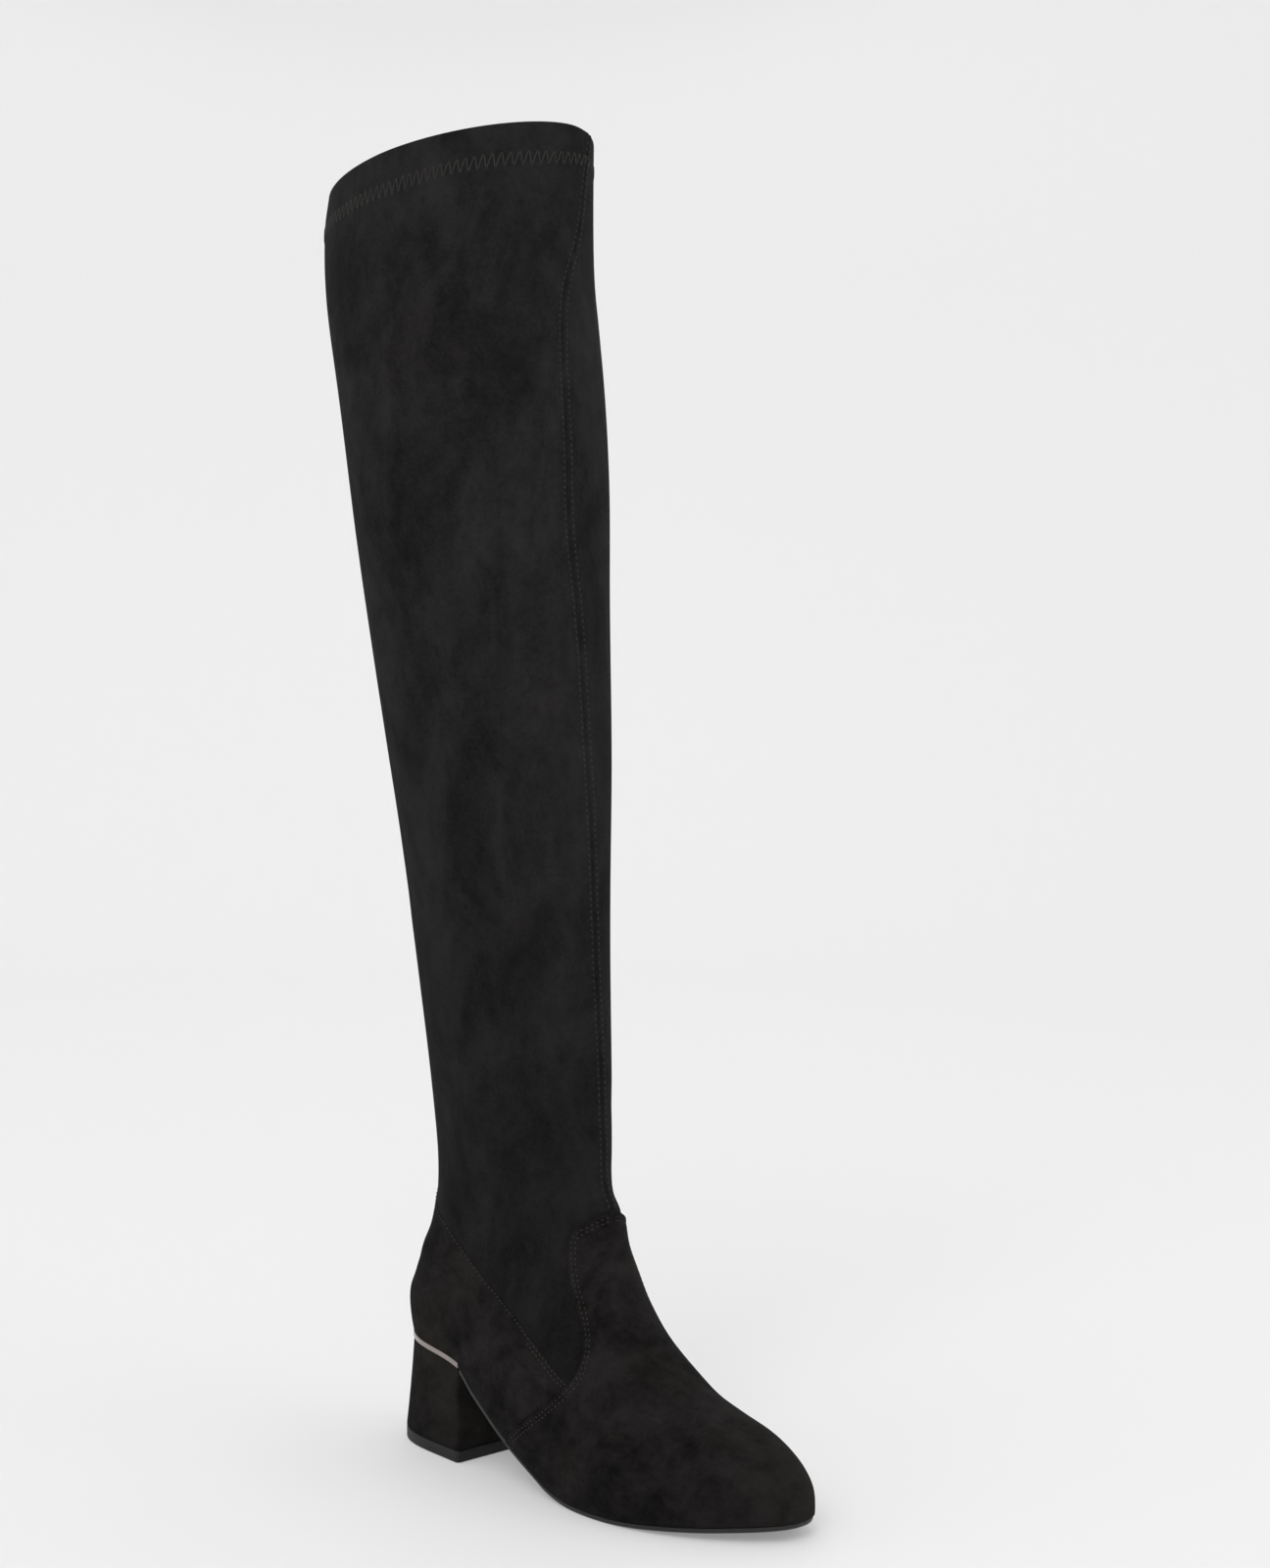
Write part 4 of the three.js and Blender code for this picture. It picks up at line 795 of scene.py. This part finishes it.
fore_reach = np.where(fore_q <= waist_q, WAIST_T, np.interp(fore_q, edge_share, edge_t[waist:]))
fore_r = np.unique(np.concatenate([
    0.42 * np.linspace(0, 1, 24) ** 1.4, np.linspace(0.42, 1 - VAMP_ROWS_MM[-1] / FORE_LENGTH, 44),
    1 - VAMP_ROWS_MM / FORE_LENGTH,
]))
fore_t = fore_r[:, None] * fore_reach
to_sole = np.clip((fore_q - waist_q) / (1 - waist_q), 0, 1) ** 2

nets = []
for side in (-1, 1):
    edge_line = form(edge_t, side * edge_phi)
    low_middle = low_turn(fore_t, side)
    low_face, low_back = low_turn(fore_t, side, GAP + OVERLAY), low_turn(fore_t, side, GAP)
    for t, phi_top, phi_under in (
        (tongue_t, tongue_phi, tongue_phi),
        (fore_t, fore_q * (low_middle + to_sole * (low_face - low_middle)),
         fore_q * (low_middle + to_sole * (low_back - low_middle))),
    ):
        from_edge = distance_to(form(t, side * phi_top), edge_line[::2])
        nets.append((side, skin(t, side * phi_top, vamp_lift(from_edge)), skin(t, side * phi_under, GAP)))
points, faces, _ = panel(nets)
foot_suede = suede("napped kid suede of the foot", "#090909", "#292727", "#f4f0f3", "#f3f3ea", 1.3, 1.25)
add_piece("vamp_panel", points, faces, [foot_suede], "boot", "suede", ["vamp"])


def beside_edge(t, phi, inside):
    """The edge's places moved inside mm over the form, square to the edge: on the front by the
    slopes of section and turn, on the side by a step in the tangent plane and its side view."""
    scale_t = np.linalg.norm(form(t + 0.01, phi) - form(t - 0.01, phi), axis=-1) / 0.02
    scale_phi = mm_per_turn(t, phi)
    run, turn = np.gradient(t) * scale_t, np.gradient(phi) * scale_phi
    length = np.hypot(run, turn)
    front_t, front_phi = t - inside * turn / length / scale_t, phi + inside * run / length / scale_phi
    edge = form(t, phi)
    square = np.cross(np.gradient(edge, axis=0), outward(t, phi))
    square *= np.sign(np.sum(square * (form(front_t, front_phi) - edge), axis=1, keepdims=True))
    moved = edge + abs(inside) * square / np.linalg.norm(square, axis=1, keepdims=True)
    side_t, side_phi = on_form(np.stack(side_view(moved), -1), t.min() - 0.5, t.max() + 0.5)
    on_side = (phi > 1.0) & (phi < 2.9)
    return np.where(on_side, side_t, front_t), np.where(on_side, side_phi, front_phi)


stitch_parts = []
for side in (-1, 1):
    for row in VAMP_STITCHES:
        row_t, row_phi = beside_edge(edge_t, edge_phi, row)
        free = (row_phi > 0) & ~np.logical_or.accumulate(row_phi > low_turn(row_t, side) - 0.04)
        stitch_parts.append(row_of_stitches(row_t[free], side * row_phi[free], PANEL_PITCH, GAP + OVERLAY - 0.2))
add_piece("vamp_stitches", *joined(stitch_parts), [thread], "boot", None)


# Heel counter: suede panel round the back of the foot under the ankle, sewn nearly flush; on
# the inner side it ends behind the zip. Its upper edge: section and turn in degrees.
COUNTER_EDGE = np.array([
    (7.48, 60.9), (7.8, 63.7), (8.42, 67.3), (9.28, 72.7), (10.12, 77.2), (10.9, 79.6), (11.5, 80.6),
    (12.1, 82.0), (12.6, 84.7), (13.12, 88.7), (13.76, 95.7), (14.48, 109.3),
    (15.08, 131), (15.6, 155), (15.9, 180),
])
COUNTER_THICK, COUNTER_GAP, COUNTER_UNDER, COUNTER_STITCHES = 0.5, 0.3, 0.06, (0.9, 2.7)
FRONT_HEIGHT, COUNTER_LENGTH = 62, 150
# On the inner side: its clearance from the zip's middle, the section down to which it keeps that,
# and how far the straight edge below leans forward
ZIP_CLEAR, ZIP_CLEAR_FROM, LEAN = 7.5, 10.2, 3.0
# Turn on the outer side behind which the second row of stitches stops
SECOND_ROW_END = 1.32
counter_t, counter_phi = through(COUNTER_EDGE, 200).T
counter_phi = np.minimum(np.radians(counter_phi), math.pi)


def patch(bottom, front, top, back, rows, columns):
    """Net of places between four edges: the two blends between facing edges, less the blend of
    the four corners. Each edge is a list of places, taken at even shares of its length."""
    def at(edge, s):
        gone = along(form(*edge))
        return np.stack([np.interp(s * gone[-1], gone, edge[k]) for k in (0, 1)], -1)
    b, t, f, k = at(bottom, columns), at(top, columns), at(front, rows), at(back, rows)
    r, q = rows[:, None, None], columns[None, :, None]
    corner = (1 - r) * ((1 - q) * b[0] + q * b[-1]) + r * ((1 - q) * t[0] + q * t[-1])
    net = (1 - r) * b[None] + r * t[None] + (1 - q) * f[:, None] + q * k[:, None] - corner
    return net[..., 0], net[..., 1]


counter_rows = np.unique(np.concatenate([np.linspace(0, 0.9, 34), 1 - VAMP_ROWS_MM / FRONT_HEIGHT]))
counter_columns = np.unique(np.concatenate([VAMP_ROWS_MM / COUNTER_LENGTH, np.linspace(0.04, 1, 74)]))
nets, stitch_parts = [], []
for side in (1, -1):
    if side > 0:
        front_t, front_phi = beside_edge(edge_t, edge_phi, -COUNTER_GAP)
        meets = int(np.argmin(np.hypot((front_t - counter_t[0]) * 25, (front_phi - counter_phi[0]) * 35)))
        front = front_t[meets:][::-1], front_phi[meets:][::-1]
        top = np.append(front[0][-1], counter_t), np.append(front[1][-1], counter_phi)
    else:
        zip_edge_t = np.linspace(ZIP_CLEAR_FROM, 16, 300)
        zip_edge_phi = -beside_zip(zip_edge_t, -ZIP_CLEAR)[:, 0]
        # Below the zip the edge goes on down to the sole in a straight line
        end_u, end_z = side_view(form(zip_edge_t[0], -zip_edge_phi[0]))
        down = np.linspace(1, 0, 60, endpoint=False)
        down_to = np.stack([end_u + LEAN * down, end_z + (sole_z(end_u + LEAN) - 2 - end_z) * down], -1)
        down_t, down_phi = on_form(down_to, 7, 11.5)
        zip_edge_t, zip_edge_phi = np.append(down_t, zip_edge_t), np.append(down_phi, zip_edge_phi)
        low_there = low_turn(np.minimum(zip_edge_t, SEAT), -1)
        above_sole = int(np.argmax(zip_edge_phi < low_there - 0.02))
        on_edge = np.interp(zip_edge_t, counter_t, counter_phi)
        meets = int(np.argmax((zip_edge_phi < on_edge) & (zip_edge_t > 10.5)))
        front = zip_edge_t[above_sole:meets + 1], zip_edge_phi[above_sole:meets + 1]
        keep = counter_phi > front[1][-1] + 0.005
        top = np.append(front[0][-1], counter_t[keep]), np.append(front[1][-1], counter_phi[keep])
    low_t = np.linspace(front[0][0], SEAT, 200)
    low_phi = low_edge(low_t, side)
    low_phi[0] = front[1][0]
    back = np.linspace(SEAT, top[0][-1], 100), np.full(100, math.pi)
    t, phi = patch((low_t, low_phi), front, top, back, counter_rows, counter_columns)
    edge_line = form(np.append(front[0], top[0]), side * np.append(front[1], top[1]))
    from_edge = distance_to(form(t, side * phi), edge_line[::3])
    swell = COUNTER_THICK * (1 - np.exp(-from_edge / 5)) + 0.1 * np.clip(from_edge / 0.5, 0, 1)
    nets.append((side, skin(t, side * phi, COUNTER_UNDER + 0.08 + swell), skin(t, side * phi, COUNTER_UNDER)))
    for row in COUNTER_STITCHES if side > 0 else COUNTER_STITCHES[:1]:
        row_t, row_phi = beside_edge(*top, row)
        part = row_phi < (math.pi if row == COUNTER_STITCHES[0] else SECOND_ROW_END)
        stitch_parts.append(row_of_stitches(row_t[part], side * row_phi[part], PANEL_PITCH,
                                            COUNTER_UNDER + 0.2 + 0.1 * row))
points, faces, _ = panel(nets)
add_piece("counter_panel", points, faces, [foot_suede], "boot", "suede", ["heel_counter"])
add_piece("counter_stitches", *joined(stitch_parts), [thread], "boot", None)


# Zip on the inner side: woven tape behind the slot, with a nylon coil of small chevrons along
# its middle; the slot's edges and a facing line in front of it are stitched.
TAPE_HALF, TAPE, COIL_PITCH, COIL_HALF, COIL_RADIUS = 12.0, 0.7, 1.55, 2.15, 0.45
tape_stuff, tree, place = new_material("woven polyester zip tape")
weft = add(tree, "TexWave", {"Vector": place, "Scale": 1 / 0.0035, "Distortion": 0.4}, bands_direction="Z")
weave = add(tree, "TexNoise", {"Vector": place, "Scale": 1 / 0.0012, "Detail": 2})
woven = add(tree, "Math", {0: weft.outputs["Fac"], 1: weave.outputs["Fac"]}, operation="MULTIPLY")
finish_patterned(tape_stuff, tree, woven.outputs[0], ("#141414", "#2c2b2b"),
                 {"Roughness": 0.85, "Sheen Weight": 0.1}, bump=(0.5, 0.0003))
zip_low, zip_high = zip_t.min() + 0.02, zip_t.max() - 0.02
tape_rows = rows_between(zip_low, zip_high, 2.4)
tape_mm = np.linspace(-TAPE_HALF, TAPE_HALF, 21)
tape_t = np.repeat(tape_rows[:, None], 21, 1)
tape_phi = beside_zip(tape_rows, tape_mm)
tape_phi = np.maximum(tape_phi, 0.02 - low_edge(tape_t, -1))
points, faces, _ = panel([(1, skin(tape_t, tape_phi, INSIDE), skin(tape_t, tape_phi, INSIDE - TAPE))])
add_piece("tape", points, faces, [tape_stuff], "boot", "tape", ["zip_tape"])

coil_stuff, tree, place = new_material("moulded nylon coil")
scuff = add(tree, "TexNoise", {"Vector": place, "Scale": 1 / 0.004, "Detail": 3})
finish_patterned(coil_stuff, tree, scuff.outputs["Fac"], ("#1c1c1e", "#3a3a3d"),
                 {"IOR": 1.53}, gloss=(0.28, 0.45))
TEETH_FROM, TEETH_TO, COIL_RUN, COIL_CROSS, COIL_SUNK = 0.07, 0.926, 1.3, 0.55, -0.85
teeth_line = on_form(smooth_line(ZIP_LINE, 300, TEETH_FROM, TEETH_TO), 8, 20)[0]
line_t = np.linspace(teeth_line.min(), teeth_line.max(), 900)
gone = along(form(line_t, zip_turn(line_t)))
coil_at = np.arange(1, gone[-1] - 1, COIL_PITCH)
coil_parts = []
for side in (-1, 1):
    start = coil_at + (0.5 * COIL_PITCH if side > 0 else 0)
    outer_t, inner_t = np.interp(start, gone, line_t), np.interp(start + COIL_RUN, gone, line_t)
    reach_out = beside_zip(outer_t, side * COIL_HALF)[:, 0]
    reach_in = beside_zip(inner_t, -side * COIL_CROSS)[:, 0]
    coil_parts.append(threads(outer_t, reach_out, inner_t, reach_in, COIL_SUNK, COIL_RADIUS))
add_piece("coil", *joined(coil_parts), [coil_stuff], "boot", "coil", ["zip_teeth"])

# Facing line in front of the zip: section and turn in degrees
FACING_LINE = np.array([(8.55, -84), (8.95, -79.2), (9.9, -69), (11, -57), (12.2, -50.5), (13.6, -53),
                        (15.55, -62), (17.7, -66.5), (19.35, -64.5)])
ZIP_PITCH, ZIP_ROW = 2.6, 5.4
facing_line = through(FACING_LINE, 300)
stitch_parts = [row_of_stitches(facing_line[:, 0], np.radians(facing_line[:, 1]), ZIP_PITCH)]
for offset in (-ZIP_ROW, ZIP_ROW):
    row_t = np.linspace(slot_ends.min() - 0.1, zip_high - 0.1, 500)
    row_phi = beside_zip(row_t, offset)[:, 0]
    stitch_parts.append(row_of_stitches(row_t, row_phi, ZIP_PITCH))
for end_t in (row_t[0], row_t[-1]):
    across = beside_zip(np.array([end_t]), (ZIP_ROW + ZIP_PITCH / 2) * np.linspace(-1, 1, 40))[0]
    stitch_parts.append(row_of_stitches(np.full(40, end_t), across, ZIP_PITCH))
add_piece("zip_stitches", *joined(stitch_parts), [thread], "boot", None)


# Zip slider and pull: die-cast zinc with a bright plating. The slider's plate sits over the
# coil under an arched bridge; the pull hangs from the bridge on its crosspiece.
plated, tree, place = new_material("bright gunmetal plating on cast zinc")
polish = add(tree, "TexNoise", {"Vector": place, "Scale": 1 / 0.003, "Detail": 4, "Roughness": 0.6})
finish_patterned(plated, tree, polish.outputs["Fac"], ("#8f8984", "#b9b2ad"),
                 {"Metallic": 1.0}, bump=(0.08, 0.0002), gloss=(0.16, 0.34))
# The slider's place on the leg in mm, and its own directions
SLIDER_SEAT = np.array([48.266, 36.692, 281.881])
ACROSS = np.array([0.07021, 0.99753, 0.0])
UPWARD = np.array([0.05862, -0.00413, 0.99827])
OUTWARD = np.array([0.99581, -0.07008, -0.05876])


def on_zip(local):
    """Slider's own places (across, up the leg, out) set on the leg."""
    return SLIDER_SEAT + local @ np.stack([ACROSS, UPWARD, OUTWARD])


def oval(count, half_x, half_y, power):
    """Superellipse loop of given half sizes; a higher power squares it."""
    turn = np.arange(count) * 2 * math.pi / count
    return np.stack([half * np.sign(c) * np.abs(c) ** (2 / power)
                     for half, c in ((half_x, np.cos(turn)), (half_y, np.sin(turn)))], -1)


def capped(levels):
    """Closed body through loops of equal count, each end shut by one face."""
    rows, count = levels.shape[:2]
    faces = grid_faces(rows, count, True).tolist()
    ends = [list(range(count))[::-1], list(range((rows - 1) * count, rows * count))]
    return levels.reshape(-1, 3), faces + ends


PLATE_HALF, PLATE_UP, BRIDGE_HALF, BRIDGE_FOOT, BRIDGE_RISE = 4.3, 5.5, 4.75, 2.6, 3.1
plate_levels = []
for inset, height in ((0.5, 0.3), (0.12, 0.45), (0, 0.8), (0, 2.1), (0.15, 2.45), (0.6, 2.7)):
    loop = oval(40, PLATE_HALF - inset, PLATE_UP - inset, 3.2)
    loop[:, 0] *= 0.9 + 0.1 * np.clip(loop[:, 1] / 4, -1, 1)
    plate_levels.append(np.column_stack([loop, np.full(40, height)]))
plate = capped(np.stack(plate_levels))
arch_turn = np.linspace(-0.04, math.pi + 0.04, 19)
arch = np.stack([BRIDGE_HALF * np.sign(np.cos(arch_turn)) * np.abs(np.cos(arch_turn)) ** 0.5,
                 BRIDGE_FOOT + BRIDGE_RISE * np.abs(np.sin(arch_turn)) ** 0.5], -1)
arch_run = np.gradient(arch, axis=0)
arch_run /= np.linalg.norm(arch_run, axis=1, keepdims=True)
band = oval(12, 1.0, 0.5, 3)
bridge = capped(np.stack([
    np.column_stack([band[:, 0], p[0] - band[:, 1] * d[1], p[1] + band[:, 1] * d[0]])
    for p, d in zip(arch, arch_run)]))
points, faces = joined([plate, bridge])
add_piece("slider", on_zip(points), faces, [plated], "boot", "gunmetal", ["zip_slider"])

PULL_LENGTH, PULL_HALF, HOLE_HALF = 22.0, 3.2, 1.7
outer_loop = oval(72, PULL_HALF, PULL_LENGTH / 2, 5) + np.array([0, -13.3])
hole_loop = oval(72, HOLE_HALF, 4.25, 4) + np.array([0, -7.75])
# Share of the way from hole to outline, and height, round the pull's thickness: a raised rim
# with a flat sunk face between
PULL_PROFILE = np.array([
    (0.0, 3.6), (0.03, 3.45), (0.12, 3.4), (0.9, 3.4), (0.98, 3.5), (1.0, 3.7), (1.0, 4.3), (0.98, 4.5),
    (0.9, 4.6), (0.78, 4.58), (0.7, 4.35), (0.3, 4.35), (0.2, 4.55), (0.1, 4.6), (0.02, 4.5), (0.0, 4.35),
])
share, height = PULL_PROFILE.T[..., None, None]
flat = hole_loop[None] * (1 - share) + outer_loop[None] * share
levels = np.concatenate([flat, np.repeat(height, 72, 1)], -1)
levels = np.concatenate([levels, levels[:1]])
points = levels.reshape(-1, 3)
first, faces, _ = weld(points, grid_faces(len(levels), 72, True))
add_piece("pull", on_zip(points[first]), faces, [plated], "pull", "gunmetal", ["zip_pull"])


# Outsole: thin moulded rubber, cemented under the foot along the sole line; its edge is
# trimmed smooth and its underside lightly textured.
SOLE_INSET, STRIP_WALL = 0.6, 1.2
BREAST = 0.2419 * FOOT_LENGTH


def footprint(lift):
    """Outline in plan where the form grown by lift meets the sole line: distance from the heel
    and sideways place of the outer side from back to toe, and of the inner side."""
    seat = seat_row(lift)
    t = seat * np.sin(np.linspace(0, math.pi / 2, 400))
    outline = {}
    for side in (1, -1):
        low = side * low_turn(t, side, lift)
        place = form(t, low) + lift * outward(t, low)
        u, v = -(place[:, 1] + CENTRE[1]), -(place[:, 0] + CENTRE[0])
        outline[side] = np.stack([u[::-1], v[::-1]], -1)
    return outline


def even_loop(loop, count, rounding):
    """Closed loop taken at even steps, its corners rounded by averaging neighbours."""
    closed = np.vstack([loop, loop[:1]])
    gone = along(closed)
    at = np.linspace(0, gone[-1], count + 1)[:-1]
    even = np.stack([np.interp(at, gone, closed[:, k]) for k in (0, 1)], -1)
    for _ in range(rounding):
        even = (np.roll(even, 1, 0) + 2 * even + np.roll(even, -1, 0)) / 4
    return even


def moved_in(loop, distance):
    """Loop moved inward, square to itself."""
    run = np.roll(loop, -1, 0) - np.roll(loop, 1, 0)
    run /= np.linalg.norm(run, axis=1, keepdims=True)
    area = np.sum(loop[:, 0] * np.roll(loop[:, 1], -1) - np.roll(loop[:, 0], -1) * loop[:, 1])
    return loop + np.sign(area) * np.asarray(distance).reshape(-1, 1) * np.stack([-run[:, 1], run[:, 0]], -1)


def from_plan(plan, height):
    """Points, mm, of places in plan (distance from the heel, to the outer side) at their heights."""
    return np.stack([-plan[..., 1] - CENTRE[0], -plan[..., 0] - CENTRE[1], height], -1)


def layers(loop, levels):
    """Slab from a loop: each level has its own inset and height; both ends are shut by rings
    that shrink to the line halfway between facing points. Returns points, faces and whether each
    face belongs to an end."""
    count = len(loop)

    def ring(inset, height, shrunk=0.0):
        rim = moved_in(loop, inset)
        middle = (rim + rim[-np.arange(count) % count]) / 2
        plan = rim + (middle - rim) * shrunk
        return from_plan(plan, height(plan[:, 0]))

    shrink = (0.3, 0.65, 1.0)
    stack = np.stack([ring(*levels[0], share) for share in shrink[::-1]] + [ring(*level) for level in levels]
                     + [ring(*levels[-1], share) for share in shrink])
    points = stack.reshape(-1, 3)
    first, faces, kept = weld(points, grid_faces(len(stack), count, True))
    row = np.array(kept) // count
    return points[first], faces, (row < len(shrink)) | (row >= len(shrink) + len(levels) - 1)


def under_sole(drop):
    """Height function: so far under the sole line."""
    return lambda u: sole_z(u) - drop


rubber_sole, tree, place = new_material("moulded rubber, lightly textured")
pebble = add(tree, "TexVoronoi", {"Vector": place, "Scale": 1 / 0.0022})
dust = add(tree, "TexNoise", {"Vector": place, "Scale": 1 / 0.012, "Detail": 4})
dust_mix = add(tree, "Mix", {0: dust.outputs["Fac"], 6: linear("#161617"), 7: linear("#2a2929")},
               data_type="RGBA")
pebble_bump = add(tree, "Bump", {"Height": pebble.outputs["Distance"], "Strength": 0.4, "Distance": 0.0003})
finish_material(rubber_sole, tree, {
    "Base Color": dust_mix.outputs[2], "Roughness": 0.6, "Normal": pebble_bump.outputs["Normal"],
})
trimmed, tree, place = new_material("trimmed rubber edge")
along_edge = add(tree, "Mapping", {"Vector": place, "Scale": (1, 1, 6)}).outputs["Vector"]
buffed = add(tree, "TexNoise", {"Vector": along_edge, "Scale": 1 / 0.005, "Detail": 3})
finish_patterned(trimmed, tree, buffed.outputs["Fac"], ("#171718", "#272728"),
                 {"Roughness": 0.5, "Specular IOR Level": 0.3}, bump=(0.2, 0.0002))
print_out = footprint(SOLE_INSET)
plan_loop = np.vstack([print_out[1], print_out[-1][::-1][1:-1]])
sole_loop = even_loop(plan_loop, 420, 3)
# Inset at the heel seat, where the strip lies round the sole, and outset of the edge forward
seat_in = np.clip((BREAST + STRIP_WALL + GAP - sole_loop[:, 0]) / (STRIP_WALL + GAP), 0, 1)
seat_in = (STRIP_WALL + GAP) * seat_in * seat_in * (3 - 2 * seat_in)
welt = 0.35 * np.clip((sole_loop[:, 0] - 0.35 * FOOT_LENGTH) / 60, 0, 1)
sole_levels = [
    (seat_in + 0.6, under_sole(OUTSOLE + GAP)), (seat_in + 0.18, under_sole(OUTSOLE + GAP - 0.12)),
    (seat_in - 0.2 * welt, under_sole(OUTSOLE + GAP - 0.5)), (seat_in - welt, under_sole(1.6)),
    (seat_in - welt, under_sole(0.75)), (seat_in - 0.5 * welt, under_sole(0.42)),
    (seat_in + 0.4, under_sole(GAP)),
]
points, faces, ends = layers(sole_loop, sole_levels)
add_piece("sole", points, faces, [trimmed, rubber_sole], "boot", "sole_rubber", ["outsole"], ends)


# Insole: a cushioned textile sheet that lies on the sole inside the upper. It keeps its CAD mesh
# and gets a material of its own.
insole_stuff, tree, place = new_material("cushioned textile insole")
ribs = add(tree, "TexWave", {"Vector": place, "Scale": 1 / 0.006, "Distortion": 1}, bands_direction="X")
finish_patterned(insole_stuff, tree, ribs.outputs["Fac"], ("#242120", "#36322f"),
                 {"Roughness": 0.9}, bump=(0.3, 0.0004))
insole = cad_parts["insole"]
insole.data.materials.clear()
insole.data.materials.append(insole_stuff)


# Heel: straight-breasted block covered in the foot's suede, flared to the back, with a
# polished metal strip round its top and a moulded rubber top lift under it.
TOP_LIFT, HEEL_FLARE, HEEL_WAIST = 5.5, 4.2, 0.25
BACK = plan_loop[:, 0].min()
heel_side = {}
for side in (1, -1):
    line = print_out[side]
    u = np.concatenate([line[line[:, 0] < BREAST][:, 0], [BREAST]])
    heel_side[side] = np.stack([u, np.interp(u, line[:, 0], line[:, 1])], -1)
heel_loop = even_loop(np.vstack([heel_side[1], heel_side[-1][::-1][:-1]]), 200, 5)


def flared(share, extra=0.0):
    """Inset that grows outward to the back, most at the foot of the heel."""
    back = 1 - np.clip((heel_loop[:, 0] - BACK) / (BREAST - BACK), 0, 1)
    return extra - HEEL_FLARE * share * back


def flat_at(z):
    """Height function: level."""
    return lambda u: 0 * u + z


heel_top = OUTSOLE + 2 * GAP
block_levels = [(flared(1, 0.5), flat_at(TOP_LIFT + GAP)), (flared(1), flat_at(TOP_LIFT + GAP + 0.4))]
for step in np.linspace(0.06, 0.94, 14):
    block_levels.append((
        flared(1 - step, HEEL_WAIST * math.sin(math.pi * step)),
        lambda u, s=step: (1 - s) * (TOP_LIFT + GAP + 0.4) + s * (sole_z(u) - heel_top - 0.6),
    ))
block_levels += [(flared(0), under_sole(heel_top + 0.6)), (flared(0, 0.15), under_sole(heel_top + 0.2)),
                 (flared(0, 0.6), under_sole(heel_top))]
points, faces, _ = layers(heel_loop, block_levels)
add_piece("heel_cover", points, faces, [foot_suede], "boot", "suede", ["heel_block"])

# Inset and height of each level of the top lift
LIFT_LEVELS = ((0.6, 0), (0.12, 0.15), (0, 0.6), (0, TOP_LIFT - 0.7), (0.08, TOP_LIFT - 0.25), (0.45, TOP_LIFT))
lift_rubber, tree, place = new_material("dense top lift rubber")
bloom = add(tree, "TexNoise", {"Vector": place, "Scale": 1 / 0.008, "Detail": 4})
finish_patterned(lift_rubber, tree, bloom.outputs["Fac"], ("#121213", "#1e1e1f"),
                 {"Roughness": 0.6, "Specular IOR Level": 0.25}, bump=(0.15, 0.0003))
points, faces, _ = layers(heel_loop, [(flared(1, inset), flat_at(z)) for inset, z in LIFT_LEVELS])
add_piece("heel_lift", points, faces, [lift_rubber], "boot", "sole_rubber", ["top_lift"])

strip_metal, tree, place = new_material("polished gunmetal strip")
drawn_along = add(tree, "Mapping", {"Vector": place, "Scale": (1, 1, 14)}).outputs["Vector"]
hairline = add(tree, "TexNoise", {"Vector": drawn_along, "Scale": 1 / 0.012, "Detail": 4})
finish_patterned(strip_metal, tree, hairline.outputs["Fac"], ("#7d7571", "#a39a95"),
                 {"Metallic": 1.0}, bump=(0.06, 0.0002), gloss=(0.12, 0.26))
# Forward of the bend the strip leaves the sole line and runs on nearly straight down a slope
STRIP_SLOPE, STRIP_BEND, STRIP_DROP = 0.11, 0.2 * FOOT_LENGTH, 1.5
# Strip's section: outward from the heel's side, and height from its middle
STRIP_PROFILE = np.array([(0.25, -1.25), (0.37, -1.05), (0.42, -0.5), (0.42, 0.5), (0.37, 1.05), (0.25, 1.25),
                          (-1.1, 1.25), (-1.2, 1.15), (-1.2, -1.15), (-1.1, -1.25)])
path = np.vstack([heel_side[1][::-1], heel_side[-1][1:]])
gone = along(path)
path = np.stack([np.interp(np.linspace(0.3, gone[-1] - 0.3, 130), gone, path[:, k]) for k in (0, 1)], -1)
run = np.gradient(path, axis=0)
run /= np.linalg.norm(run, axis=1, keepdims=True)
away = np.stack([-run[:, 1], run[:, 0]], -1)
away *= np.sign(np.sum(away * (path - path.mean(0)), 1))[:, None]
plan = path[:, None] + away[:, None] * STRIP_PROFILE[None, :, :1]
straight = sole_z(STRIP_BEND) - STRIP_SLOPE * (path[:, 0] - STRIP_BEND)
strip_z = sole_z(path[:, 0])
strip_z = np.where(path[:, 0] > STRIP_BEND, 0.6 * straight + 0.4 * strip_z, strip_z)
height = strip_z[:, None] - STRIP_DROP + STRIP_PROFILE[None, :, 1]
add_piece("strip", *capped(from_plan(plan, height)), [strip_metal], "boot", "gunmetal", ["heel_strip"])
